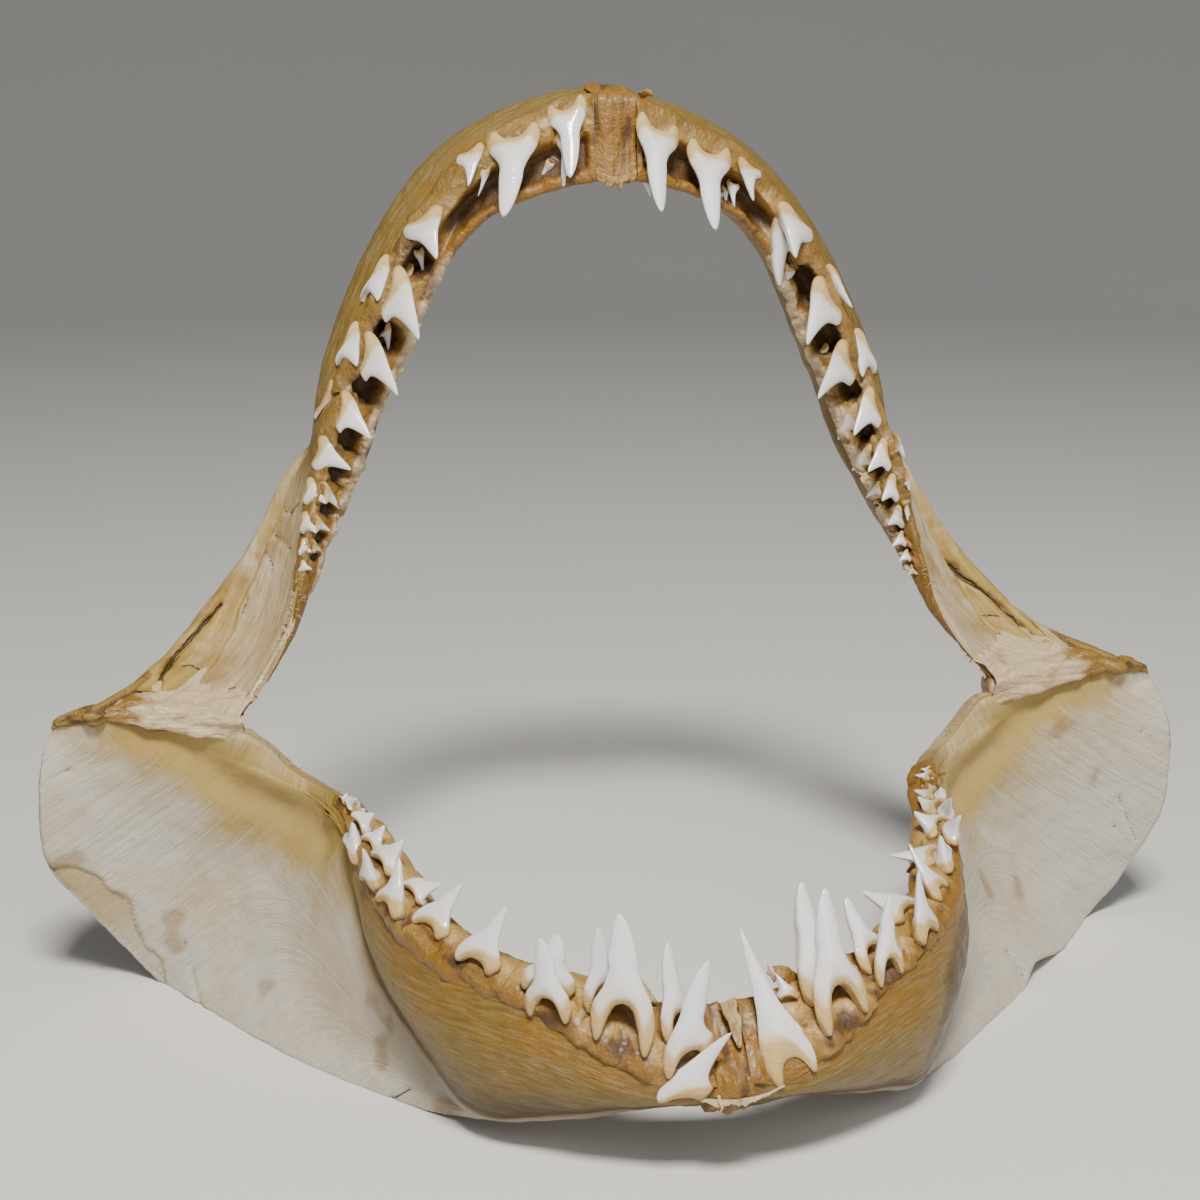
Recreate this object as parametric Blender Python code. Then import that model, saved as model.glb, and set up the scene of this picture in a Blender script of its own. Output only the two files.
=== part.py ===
"""Dried, opened jaw of a shortfin mako shark, standing on its lower jaw.

X runs to the animal's left, the mouth opens towards -Y and Z is up. The four jaw
cartilages are lofted between guide curves, which run from the symphysis, where a
right and a left half meet, to the jaw joint. Each half keeps its own teeth.
Guide points are in millimetres, measured from the plane of symmetry, from the
upright plane of the upper front teeth's roots and from the floor.
"""
from bisect import bisect_right
from math import cos, pi, radians, sin

import bmesh
import bpy
import numpy as np

MM = 0.001
BACK_SHIFT = 77.7
SIDE_SHIFT = -3.9
GAP = 0.4

SYMPHYSIS_LOWER = 4.5
SYMPHYSIS_UPPER = 6.5
STATIONS = 27
OUTER_POINTS = 9
INNER_POINTS = 6
BAND_SHARE = 0.75
FURROW = ((0.0, 1.5), (0.3, 2.5), (0.6, 2.0), (0.75, 0.3), (1.0, 0.0))
# The joint lies between these shares of the lower guides.
JOINT_START = 0.87
JOINT_END = 0.96
JOINT_SECTIONS = 6
JOINT_INSET = (0.03, 0.85)
JOINT_SWELL = 2.5
JOINT_LIP = 1.0
FOOT_START = 122.0
FOOT_LOW = 90.0
FOOT_SLOPE = 0.139

# Lower jaw guides, as (share of the way to the joint, (x, y, z)).
LOWER_LABIAL_RIM = (
    (0.00, (4.5, -178, 30)), (0.10, (16, -177, 31)), (0.20, (30, -172, 37)),
    (0.30, (46, -160, 45)), (0.40, (61, -147, 50)), (0.50, (76, -127, 53)),
    (0.60, (86, -100, 60)), (0.70, (92, -58, 69)), (0.79, (107, -38, 74)),
    (0.87, (121, -33, 84)), (0.96, (167, -26, 92.5)), (1.00, (178, -24, 90)))
LOWER_LINGUAL_RIM = (
    (0.00, (4.5, -161, 45)), (0.10, (13, -160, 45)), (0.20, (24, -157, 46)),
    (0.30, (38, -148, 48)), (0.40, (52, -138, 50)), (0.50, (66, -119, 53)),
    (0.60, (77, -95, 59)), (0.70, (87, -54, 66)), (0.79, (104, -31, 72)),
    (0.87, (122, -22, 84)), (0.96, (168, -15, 92.5)), (1.00, (178, -18, 90)))
LOWER_CREASE = (
    (0.00, (4.5, -175, 22)), (0.12, (22, -170, 20)), (0.25, (45, -159, 14)),
    (0.40, (66, -142, 10)), (0.50, (77, -120, 19)), (0.60, (88, -95, 33)),
    (0.66, (93, -77, 50)), (0.74, (98, -54, 62)), (0.87, (128, -33, 72)),
    (1.00, (181, -24, 86)))
LOWER_EDGE = {
    "left": (
        (0.00, (4.5, -164, 17)), (0.12, (20, -160, 15)), (0.25, (43, -150, 9)),
        (0.36, (62, -138, 3)), (0.44, (78, -122, 0)), (0.53, (102, -97, 0)),
        (0.60, (121, -76, 0)), (0.645, (128, -68, 6)), (0.68, (144, -50, 1)),
        (0.72, (157, -33, 0)), (0.76, (164, -25, 1)), (0.80, (173, -23, 10)),
        (0.84, (181, -24, 24)), (0.90, (188, -27, 43)), (0.95, (187, -29, 66)),
        (1.00, (183, -26, 82))),
    "right": (
        (0.00, (4.5, -164, 17)), (0.12, (20, -160, 15)), (0.25, (43, -150, 9)),
        (0.36, (62, -138, 3)), (0.44, (78, -122, 0)), (0.55, (105, -92, 0)),
        (0.64, (126, -63, 0)), (0.71, (145, -32, 0)), (0.75, (152, -23, 1)),
        (0.79, (160, -20, 10)), (0.84, (171, -22, 25)), (0.90, (184, -25, 44)),
        (0.95, (185, -28, 66)), (1.00, (183, -26, 82)))}
# Bulge of the tooth-bearing band, sag of the wing behind the crease, and walls.
BAND_BULGE = ((0.0, 2.0), (0.3, 5.0), (0.5, 6.0), (0.66, 1.5), (1.0, 0.0))
WING_SAG = ((0.0, -1.5), (0.4, 1.0), (0.6, 4.0), (0.8, 5.0), (1.0, 0.0))
CREASE_WALL = ((0.0, 10.0), (0.5, 9.0), (0.75, 7.0), (0.87, 8.0), (1.0, 5.0))
WING_WALL = 5.5
EDGE_WALL = 4.0

# Upper jaw guides. Past the last tooth the rear edge swings outwards and becomes
# the outer edge of the plate that carries the joint.
UPPER_LABIAL_RIM = (
    (0.00, (6.5, -4, 276)), (0.08, (17, -2, 272)), (0.16, (31, -1, 265)),
    (0.23, (45, 0, 256)), (0.31, (58, 1, 240)), (0.39, (69, 1, 222)),
    (0.46, (78, 1, 203)), (0.53, (85, 0, 186)), (0.60, (91, -3, 169)),
    (0.67, (96, -7, 152)), (0.73, (100, -11, 137)), (0.78, (103, -15, 125)),
    (0.84, (106, -19, 114)), (0.92, (113, -25, 101)), (1.00, (122, -30, 90)))
UPPER_LINGUAL_RIM = (
    (0.00, (6.5, -8, 252)), (0.08, (16, -7, 250)), (0.16, (29, -4, 246)),
    (0.23, (42, -1, 239)), (0.31, (52, 2, 228)), (0.39, (60, 4, 212)),
    (0.46, (67, 5, 196)), (0.53, (75, 6, 180)), (0.60, (82, 3, 163)),
    (0.67, (89, -2, 148)), (0.73, (95, -6, 135)), (0.78, (99, -10, 124)),
    (0.84, (104, -13, 113)), (0.92, (113, -18, 101)), (1.00, (123, -22, 90)))
UPPER_REAR_EDGE = (
    (0.00, (6.5, 17, 269)), (0.10, (22, 21, 265)), (0.20, (41, 26, 255)),
    (0.31, (60, 26, 239)), (0.42, (75, 25, 217)), (0.53, (87, 24, 191)),
    (0.61, (93, 22, 171)), (0.68, (103, 19, 157)), (0.75, (114, 16, 138)),
    (0.84, (129, 10, 119)), (0.92, (143, 0, 104)), (1.00, (158, -16, 95)))
LABIAL_BULGE = {
    "left": ((0.0, 6.0), (0.2, 7.0), (0.4, 6.5), (0.55, 6.0), (0.65, 2.0), (0.75, -2.0),
             (0.88, -4.0), (1.0, -1.0)),
    "right": ((0.0, 8.0), (0.2, 11.5), (0.4, 9.5), (0.55, 7.0), (0.65, 2.5), (0.75, -2.0),
              (0.88, -4.0), (1.0, -1.0))}
LINGUAL_BULGE = ((0.0, 2.0), (0.3, 4.0), (0.6, 7.0), (0.72, 7.0), (0.85, 4.0), (1.0, 2.5))
REAR_WALL = ((0.0, 8.0), (0.4, 6.5), (0.7, 5.0), (1.0, 6.0))

# Teeth, as (share along the labial rim, share of the way from the labial to the
# lingual rim, height, width of the root, lean towards the mouth, lean towards the
# joint); leans are degrees from the direction in which the rim faces.
UPPER_TEETH = {
    "left": (
        (0.062, 0.10, 29, 14, 92, 20), (0.158, 0.05, 29, 15, 78, 28), (0.227, 0.00, 13, 8, 70, 40),
        (0.318, 0.00, 16, 15, 30, 30), (0.422, 0.05, 20, 15, 42, 24), (0.416, -0.15, 8, 9, -20, 75),
        (0.502, 0.10, 18, 13, 42, 16), (0.492, -0.14, 8, 9, 0, 75), (0.564, 0.00, 15, 13, 38, 25),
        (0.624, 0.15, 11, 10, 26, 22), (0.669, 0.20, 9, 8, 20, 20), (0.704, 0.25, 7, 7, 25, 25),
        (0.731, 0.30, 6, 6, 30, 20), (0.754, 0.30, 5, 5, 30, 25)),
    "right": (
        (0.064, -0.05, 28, 13, 72, 16), (0.158, -0.05, 29, 17, 68, 36), (0.225, -0.10, 12, 10, 55, 38),
        (0.319, -0.05, 17, 15, 33, 27), (0.407, 0.00, 20, 16, 33, 26), (0.398, -0.20, 8, 9, -30, 80),
        (0.477, 0.05, 18, 14, 35, 25), (0.470, -0.20, 8, 9, -30, 80), (0.549, 0.00, 15, 13, 28, 26),
        (0.609, -0.05, 13, 11, 26, 24), (0.655, 0.00, 10, 8, 36, 16), (0.686, 0.00, 8, 7, 20, 34),
        (0.712, 0.00, 7, 6, 35, 38), (0.735, 0.00, 6, 5, 20, 50))}
LOWER_TEETH = {
    "left": (
        (0.115, -0.05, 42, 14, 62, 5), (0.125, 0.50, 24, 10, 50, 0), (0.219, 0.00, 37, 16, 45, 28),
        (0.185, 0.55, 33, 12, 50, 28), (0.312, -0.02, 24, 10, 24, 25), (0.348, 0.80, 16, 8, 24, -7),
        (0.414, 0.00, 20, 10, 24, 10), (0.450, 0.70, 16, 8, 52, -38), (0.530, 0.14, 17, 10, 48, 6),
        (0.575, 0.60, 14, 7, 76, -26), (0.571, 0.05, 12, 7, 20, 17), (0.619, 0.20, 11, 7, 52, 10),
        (0.598, -0.02, 9, 5, -8, 30), (0.645, 0.00, 7, 5, 0, 0), (0.670, 0.15, 7, 5, 30, 8),
        (0.692, 0.20, 5, 4, 15, -20)),
    "right": (
        (0.086, -0.10, 20, 13, 58, -32), (0.075, 0.35, 28, 11, 35, -6), (0.066, 0.78, 24, 10, 30, 15),
        (0.195, 0.05, 36, 17, 39, 27), (0.229, 0.80, 24, 11, 4, 22), (0.293, -0.05, 24, 13, 10, 20),
        (0.288, 0.45, 20, 9, 5, 18), (0.420, 0.08, 21, 13, 20, -16), (0.506, 0.20, 18, 11, 31, -14),
        (0.579, 0.50, 14, 8, 46, -42), (0.561, -0.02, 14, 8, 26, 26), (0.603, 0.07, 12, 7, 40, 16),
        (0.590, -0.15, 11, 6, -5, 34), (0.642, 0.00, 9, 6, 34, 7), (0.664, 0.00, 8, 5, 22, -10),
        (0.688, 0.00, 6, 4, 0, -14))}
# A tooth's rings, as (share of the height, width and thickness as shares of the root's).
TOOTH_RINGS = ((0.10, 0.95, 1.0), (0.28, 0.55, 0.8), (0.62, 0.33, 0.55))
TOOTH_SIDES = 6
TOOTH_SINK = 3.0
TOOTH_THICKNESS = 0.42
TISSUE_SWELL_LOWER = 1.5
TISSUE_SWELL_UPPER = 2.0


def through(keys, u):
    """Smooth value at u of a curve through keys, which are (u, value) pairs."""
    at = [key[0] for key in keys]
    values = [np.array(key[1], float) for key in keys]
    last = len(keys) - 1
    i = max(0, min(last - 1, bisect_right(at, u) - 1))

    def slope(k):
        if k == 0:
            return (values[1] - values[0]) / (at[1] - at[0])
        if k == last:
            return (values[last] - values[last - 1]) / (at[last] - at[last - 1])
        before = at[k] - at[k - 1]
        after = at[k + 1] - at[k]
        rise_before = (values[k] - values[k - 1]) / before
        rise_after = (values[k + 1] - values[k]) / after
        return (rise_before * after + rise_after * before) / (before + after)

    step = at[i + 1] - at[i]
    t = (u - at[i]) / step
    return ((2 * t**3 - 3 * t**2 + 1) * values[i] + (t**3 - 2 * t**2 + t) * step * slope(i)
            + (3 * t**2 - 2 * t**3) * values[i + 1] + (t**3 - t**2) * step * slope(i + 1))


def unit(vector):
    """The vector's direction, one long."""
    return vector / np.linalg.norm(vector)


def tangent(keys, u):
    """Direction in which a guide runs at u."""
    before = max(0.0, u - 0.01)
    after = min(1.0, u + 0.01)
    return unit(through(keys, after) - through(keys, before))


def face_point(knots, t):
    """Point at t on a smooth line through evenly spaced knots."""
    count = len(knots) - 1
    return through([(i / count, knot) for i, knot in enumerate(knots)], t)


def lower_rim(keys, u):
    """Point of a lower rim, which runs straight under the joint."""
    if not JOINT_START < u < JOINT_END:
        return through(keys, u)
    share = (u - JOINT_START) / (JOINT_END - JOINT_START)
    return (1 - share) * through(keys, JOINT_START) + share * through(keys, JOINT_END)


def lower_knots(u, side):
    """Outer and inner knots of a lower section, from the tooth rim to the lower edge."""
    rim = lower_rim(LOWER_LABIAL_RIM, u)
    lingual = lower_rim(LOWER_LINGUAL_RIM, u)
    crease = through(LOWER_CREASE, u)
    edge = through(LOWER_EDGE[side], u)
    band_out = unit(np.cross(crease - rim, tangent(LOWER_LABIAL_RIM, u)))
    wing_out = unit(np.cross(edge - crease, tangent(LOWER_CREASE, u)))
    crease_out = unit(band_out + wing_out)
    band = (rim + crease) / 2 + band_out * through(BAND_BULGE, u)
    wing = (crease + edge) / 2 - wing_out * through(WING_SAG, u)
    wall = through(CREASE_WALL, u)
    band_wall = max(wall, BAND_SHARE * np.linalg.norm(lingual - rim))
    outer = [rim, band, crease, wing, edge]
    inner = [lingual, band - band_out * band_wall, crease - crease_out * wall,
             wing - wing_out * min(wall, WING_WALL), edge - wing_out * EDGE_WALL]
    return outer, inner


def lower_section(u, side):
    """Closed section of a lower jaw half, as points in order round it."""
    outer, inner = lower_knots(u, side)
    crest = (outer[0] + inner[0]) / 2 - np.array((0, 0, through(FURROW, u)))
    loop = [face_point(outer, t) for t in np.linspace(0, 1, OUTER_POINTS)]
    loop += [face_point(inner, t) for t in np.linspace(1, 0, INNER_POINTS)]
    loop.append(crest)
    for point in loop:
        point[2] = max(point[2], 0.0)
    if u == 0:
        for point in loop:
            point[0] = SYMPHYSIS_LOWER
    return loop


def upper_knots(u, side):
    """Labial knots from rim to rear edge and lingual knots from rear edge to rim."""
    rim = through(UPPER_LABIAL_RIM, u)
    lingual = through(UPPER_LINGUAL_RIM, u)
    rear = through(UPPER_REAR_EDGE, u)
    out = unit(np.cross(tangent(UPPER_LABIAL_RIM, u), rear - rim))
    bulge = (rim + rear) / 2 + out * through(LABIAL_BULGE[side], u)
    rear_inner = rear - out * through(REAR_WALL, u)
    middle = (lingual + rear_inner) / 2 - out * through(LINGUAL_BULGE, u)
    return [rim, bulge, rear], [rear_inner, middle, lingual]


def upper_section(u, side):
    """Closed section of an upper jaw half, as points in order round it."""
    labial, lingual = upper_knots(u, side)
    across = lingual[-1] - labial[0]
    oral = unit(np.cross(across, tangent(UPPER_LABIAL_RIM, u)))
    crest = (labial[0] + lingual[-1]) / 2 - oral * through(FURROW, u)
    loop = [face_point(labial, t) for t in np.linspace(0, 1, OUTER_POINTS)]
    loop += [face_point(lingual, t) for t in np.linspace(0, 1, INNER_POINTS)]
    loop.append(crest)
    if u == 0:
        for point in loop:
            point[0] = SYMPHYSIS_UPPER
    if u == 1:
        for point in loop:
            point[2] = foot_height(point[0])
    return loop


def foot_height(x):
    """Height of the flat end on which an upper jaw half meets its joint."""
    return FOOT_LOW + FOOT_SLOPE * (x - FOOT_START)


def to_world(point, side):
    """Guide millimetres of one side, as a point of the model in metres."""
    sign = 1 if side == "left" else -1
    x, y, z = point
    return ((sign * x + SIDE_SHIFT) * MM, (y + BACK_SHIFT) * MM, z * MM)


def solid_from_loops(name, loops, side):
    """Closed body through loops of equal length, with a face over each end."""
    verts = [to_world(point, side) for loop in loops for point in loop]
    size = len(loops[0])
    faces = [list(range(size))[::-1]]
    for i in range(len(loops) - 1):
        for k in range(size):
            after = (k + 1) % size
            faces.append([i * size + k, i * size + after,
                          (i + 1) * size + after, (i + 1) * size + k])
    faces.append([(len(loops) - 1) * size + k for k in range(size)])
    mesh = bpy.data.meshes.new(name)
    mesh.from_pydata(verts, [], faces)
    tidy_mesh(mesh)
    obj = bpy.data.objects.new(name, mesh)
    bpy.context.collection.objects.link(obj)
    return obj


def tidy_mesh(mesh):
    """Triangles only, no doubled points, faces pointing out."""
    work = bmesh.new()
    work.from_mesh(mesh)
    bmesh.ops.remove_doubles(work, verts=work.verts, dist=0.00002)
    bmesh.ops.dissolve_degenerate(work, edges=work.edges, dist=0.00001)
    bmesh.ops.triangulate(work, faces=work.faces)
    bmesh.ops.recalc_face_normals(work, faces=work.faces)
    work.to_mesh(mesh)
    work.free()
    mesh.update()


def material(name, colour, roughness):
    """Principled material of one kind of remains."""
    made = bpy.data.materials.new(name)
    made.use_nodes = True
    shader = made.node_tree.nodes["Principled BSDF"]
    shader.inputs["Base Color"].default_value = (*colour, 1)
    shader.inputs["Roughness"].default_value = roughness
    return made


def joint_block(side, look):
    """Dried ligament between the lower jaw's crest and the upper jaw's foot."""
    loops = []
    for i in range(JOINT_SECTIONS):
        share = i / (JOINT_SECTIONS - 1)
        along = JOINT_INSET[0] + (JOINT_INSET[1] - JOINT_INSET[0]) * share
        u = JOINT_START + (JOINT_END - JOINT_START) * along
        front = lower_rim(LOWER_LABIAL_RIM, u)
        back = lower_rim(LOWER_LINGUAL_RIM, u)
        swell = JOINT_SWELL * (0.4 + 0.6 * sin(pi * share))
        low = np.array((0, 0, GAP))
        lip = np.array((0, JOINT_LIP, 0))
        top_front = np.array((front[0], front[1], foot_height(front[0]) - GAP)) + 2 * lip
        top_back = np.array((back[0], back[1], foot_height(back[0]) - GAP)) - 2 * lip
        loops.append([
            front + low + lip, (front + top_front) / 2 + (0, -swell, 0), top_front,
            top_back, (back + top_back) / 2 + (0, swell, 0), back + low - lip])
    obj = solid_from_loops("jaw_joint_" + side, loops, side)
    obj.data.materials.append(look)
    return obj


def stations():
    """Shares of the guides at which the sections stand."""
    even = [i / (STATIONS - 1) for i in range(STATIONS)]
    return sorted(even + [JOINT_START, JOINT_END])


def rim_frame(labial, lingual, u, facing):
    """Labial and lingual rim points, with the directions back, inwards and outwards."""
    outer = through(labial, u)
    inner = through(lingual, u)
    back = tangent(labial, u)
    inwards = inner - outer
    inwards = unit(inwards - back * inwards.dot(back))
    return outer, inner, back, inwards, np.cross(back, inwards) * facing


def tooth(row, labial, lingual, facing, side):
    """One tooth: a root set in the rim and a blade of diamond section up to its tip."""
    share, out, height, width, lean_in, lean_back = row
    outer, inner, back, inwards, up = rim_frame(labial, lingual, share, facing)
    base = outer + (inner - outer) * out
    lean_in = radians(lean_in)
    lean_back = radians(lean_back)
    axis = (up * cos(lean_in) + inwards * sin(lean_in)) * cos(lean_back) + back * sin(lean_back)
    across = unit(back - axis * back.dot(axis))
    front = np.cross(axis, across)
    rings = [(base - up * TOOTH_SINK, 0.9, 1.0)]
    rings += [(base + axis * height * h, w, t) for h, w, t in TOOTH_RINGS]
    verts = []
    for centre, wide, thick in rings:
        half = width * wide / 2
        depth = width * thick * TOOTH_THICKNESS / 2
        for i in range(TOOTH_SIDES):
            turn = 2 * pi * i / TOOTH_SIDES
            verts.append(centre + across * half * cos(turn) + front * depth * sin(turn))
    verts.append(base + axis * height)
    faces = [list(range(TOOTH_SIDES))]
    for ring in range(len(rings) - 1):
        low = ring * TOOTH_SIDES
        high = low + TOOTH_SIDES
        for i in range(TOOTH_SIDES):
            k = (i + 1) % TOOTH_SIDES
            faces.append([low + i, low + k, high + k, high + i])
    last = TOOTH_SIDES * (len(rings) - 1)
    faces += [[last + i, last + (i + 1) % TOOTH_SIDES, len(verts) - 1] for i in range(TOOTH_SIDES)]
    mesh = bpy.data.meshes.new("tooth")
    mesh.from_pydata([to_world(point, side) for point in verts], [], faces)
    tidy_mesh(mesh)
    return bpy.data.objects.new("tooth", mesh)


def join_teeth(jaw, teeth):
    """Unite a cartilage with its teeth into one closed body."""
    group = bpy.data.collections.new(jaw.name + "_teeth")
    bpy.context.scene.collection.children.link(group)
    for piece in teeth:
        group.objects.link(piece)
    union = jaw.modifiers.new("teeth", "BOOLEAN")
    union.operation = "UNION"
    union.solver = "EXACT"
    union.use_self = True
    union.operand_type = "COLLECTION"
    union.collection = group
    graph = bpy.context.evaluated_depsgraph_get()
    united = bpy.data.meshes.new_from_object(jaw.evaluated_get(graph))
    jaw.modifiers.remove(union)
    jaw.data = united
    tidy_mesh(united)
    for piece in teeth:
        bpy.data.objects.remove(piece, do_unlink=True)
    bpy.data.collections.remove(group)


def jaw_half(name, section, side, look):
    """One cartilage, lofted through its sections."""
    obj = solid_from_loops(name, [section(u, side) for u in stations()], side)
    obj.data.materials.append(look)
    return obj


def symphysis(name, section, half_width, swell, look):
    """Dried tissue that fills the gap between a right and a left half."""
    loops = []
    for share in (-1.0, -0.5, 0.0, 0.5, 1.0):
        loop = [point.copy() for point in section(0, "left" if share >= 0 else "right")]
        centre = sum(loop) / len(loop)
        grown = swell * (1 - share * share)
        for point in loop:
            away = unit((point - centre) * (0, 1, 1))
            point += away * grown
            point[0] = share * (half_width - GAP)
        loops.append(loop)
    obj = solid_from_loops(name, loops, "left")
    obj.data.materials.append(look)
    return obj


def clear_scene():
    """Remove whatever the scene holds."""
    for obj in list(bpy.data.objects):
        bpy.data.objects.remove(obj, do_unlink=True)


def main():
    """Make the four jaw halves, the two joints and the two lumps of tissue."""
    clear_scene()
    cartilage = material("dried_cartilage", (0.72, 0.60, 0.40), 0.55)
    tissue = material("dried_tissue", (0.33, 0.17, 0.06), 0.5)
    for side in ("left", "right"):
        lower = jaw_half("lower_jaw_" + side, lower_section, side, cartilage)
        join_teeth(lower, [tooth(row, LOWER_LABIAL_RIM, LOWER_LINGUAL_RIM, 1, side)
                           for row in LOWER_TEETH[side]])
        upper = jaw_half("upper_jaw_" + side, upper_section, side, cartilage)
        join_teeth(upper, [tooth(row, UPPER_LABIAL_RIM, UPPER_LINGUAL_RIM, -1, side)
                           for row in UPPER_TEETH[side]])
        joint_block(side, tissue)
    symphysis("lower_symphysis_tissue", lower_section, SYMPHYSIS_LOWER,
              TISSUE_SWELL_LOWER, tissue)
    symphysis("upper_symphysis_tissue", upper_section, SYMPHYSIS_UPPER,
              TISSUE_SWELL_UPPER, tissue)


if __name__ == "__main__":
    main()
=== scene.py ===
"""Dried, opened shark jaw: its cartilages, teeth, gums and ligaments around the CAD frame.

Guide points are in millimetres, measured from the plane of symmetry, from the upright
plane of the upper front teeth's roots and from the floor, as in the CAD source.
"""
from math import ceil, cos, pi, radians, sin, sqrt

import bpy
import numpy as np
from bpy.props import FloatProperty, FloatVectorProperty, IntProperty, PointerProperty
from bpy.types import Operator, Panel, PropertyGroup
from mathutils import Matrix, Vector, noise


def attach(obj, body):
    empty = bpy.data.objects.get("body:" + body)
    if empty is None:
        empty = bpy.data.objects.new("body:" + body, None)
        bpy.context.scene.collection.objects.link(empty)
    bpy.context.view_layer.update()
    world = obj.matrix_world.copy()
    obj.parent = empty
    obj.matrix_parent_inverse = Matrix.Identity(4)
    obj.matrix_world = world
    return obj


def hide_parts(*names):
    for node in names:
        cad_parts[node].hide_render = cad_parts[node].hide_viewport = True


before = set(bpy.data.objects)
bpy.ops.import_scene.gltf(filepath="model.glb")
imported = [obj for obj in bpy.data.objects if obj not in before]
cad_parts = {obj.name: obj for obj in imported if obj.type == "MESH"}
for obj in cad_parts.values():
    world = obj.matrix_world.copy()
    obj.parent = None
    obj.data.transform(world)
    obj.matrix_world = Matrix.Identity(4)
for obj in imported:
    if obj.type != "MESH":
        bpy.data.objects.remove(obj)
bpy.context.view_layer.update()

bl_info = {
    "name": "Dried shark jaw",
    "version": (1, 0, 0),
    "blender": (4, 5, 0),
    "location": "View3D > Sidebar > Shark jaw",
    "description": "Models the cartilages, teeth, gums and ligaments of a dried shark jaw",
    "category": "Object",
}

MM = 0.001
# How far the guide points move, backwards and sideways, to where the model stands.
BACK_SHIFT = 77.7
SIDE_SHIFT = -3.9
SIDES = ("left", "right")
# Sign that turns a cross product of a jaw's guides towards its teeth.
FACING = {"lower": 1, "upper": -1}

# ------------------------------------------------------------------ guides

# Half widths of the tissue between the halves of each jaw.
SYMPHYSIS_LOWER = 4.5
SYMPHYSIS_UPPER = 6.5
# Shares of the lower guides between which the joint lies.
JOINT_START = 0.87
JOINT_END = 0.96
# Plane that the upper jaw's foot ends on: its height at a distance from the middle, and
# its slope outwards.
FOOT_START = 122.0
FOOT_LOW = 90.0
FOOT_SLOPE = 0.139

# Lower jaw guides, as (share of the way to the joint, (x, y, z)).
LOWER_LABIAL_RIM = (
    (0.00, (4.5, -178, 30)), (0.10, (16, -177, 31)), (0.20, (30, -172, 37)),
    (0.30, (46, -160, 45)), (0.40, (61, -147, 50)), (0.50, (76, -127, 53)),
    (0.60, (86, -100, 60)), (0.70, (92, -58, 69)), (0.79, (107, -38, 74)),
    (0.87, (121, -33, 84)), (0.96, (167, -26, 92.5)), (1.00, (178, -24, 90)))
LOWER_LINGUAL_RIM = (
    (0.00, (4.5, -161, 45)), (0.10, (13, -160, 45)), (0.20, (24, -157, 46)),
    (0.30, (38, -148, 48)), (0.40, (52, -138, 50)), (0.50, (66, -119, 53)),
    (0.60, (77, -95, 59)), (0.70, (87, -54, 66)), (0.79, (104, -31, 72)),
    (0.87, (122, -22, 84)), (0.96, (168, -15, 92.5)), (1.00, (178, -18, 90)))
LOWER_CREASE = (
    (0.00, (4.5, -175, 22)), (0.12, (22, -170, 20)), (0.25, (45, -159, 14)),
    (0.40, (66, -142, 10)), (0.50, (77, -120, 19)), (0.60, (88, -95, 33)),
    (0.66, (93, -77, 50)), (0.74, (98, -54, 62)), (0.87, (128, -33, 72)),
    (1.00, (181, -24, 86)))
LOWER_FRONT_EDGE = (
    (0.00, (4.5, -164, 17)), (0.12, (20, -160, 15)), (0.25, (43, -150, 9)),
    (0.36, (62, -138, 3)), (0.44, (78, -122, 0)))
LOWER_EDGE = {
    "left": LOWER_FRONT_EDGE + (
        (0.53, (102, -97, 0)),
        (0.60, (121, -76, 0)), (0.645, (128, -68, 6)), (0.68, (144, -50, 1)),
        (0.72, (157, -33, 0)), (0.76, (164, -25, 1)), (0.80, (173, -23, 10)),
        (0.84, (181, -24, 24)), (0.90, (188, -27, 43)), (0.95, (187, -29, 66)),
        (1.00, (183, -26, 82))),
    "right": LOWER_FRONT_EDGE + (
        (0.55, (105, -92, 0)),
        (0.64, (126, -63, 0)), (0.71, (145, -32, 0)), (0.75, (152, -23, 1)),
        (0.79, (160, -20, 10)), (0.84, (171, -22, 25)), (0.90, (184, -25, 44)),
        (0.95, (185, -28, 66)), (1.00, (183, -26, 82)))}
BAND_BULGE = ((0.0, 2.0), (0.3, 5.0), (0.5, 6.0), (0.66, 1.5), (1.0, 0.0))
WING_SAG = ((0.0, -1.5), (0.4, 1.0), (0.6, 4.0), (0.8, 5.0), (1.0, 0.0))
CREASE_WALL = ((0.0, 10.0), (0.5, 9.0), (0.75, 7.0), (0.87, 8.0), (1.0, 5.0))
LOWER_FURROW = ((0.0, 2.0), (0.3, 4.0), (0.6, 3.5), (0.75, 0.3), (1.0, 0.0))
BAND_SHARE = 0.75
WING_WALL = 5.0
EDGE_WALL = 3.2

# Upper jaw guides. Past the last tooth the rear edge swings outwards and becomes
# the outer edge of the plate that carries the joint.
UPPER_LABIAL_RIM = (
    (0.00, (6.5, -4, 276)), (0.08, (17, -2, 272)), (0.16, (31, -1, 265)),
    (0.23, (45, 0, 256)), (0.31, (58, 1, 240)), (0.39, (69, 1, 222)),
    (0.46, (78, 1, 203)), (0.53, (85, 0, 186)), (0.60, (91, -3, 169)),
    (0.67, (96, -7, 152)), (0.73, (100, -11, 137)), (0.78, (103, -15, 125)),
    (0.84, (106, -19, 114)), (0.92, (113, -25, 101)), (1.00, (122, -30, 90)))
UPPER_LINGUAL_RIM = (
    (0.00, (6.5, -8, 252)), (0.08, (16, -7, 250)), (0.16, (29, -4, 246)),
    (0.23, (42, -1, 239)), (0.31, (52, 2, 228)), (0.39, (60, 4, 212)),
    (0.46, (67, 5, 196)), (0.53, (75, 6, 180)), (0.60, (82, 3, 163)),
    (0.67, (89, -2, 148)), (0.73, (95, -6, 135)), (0.78, (99, -10, 124)),
    (0.84, (104, -13, 113)), (0.92, (113, -18, 101)), (1.00, (123, -22, 90)))
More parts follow.
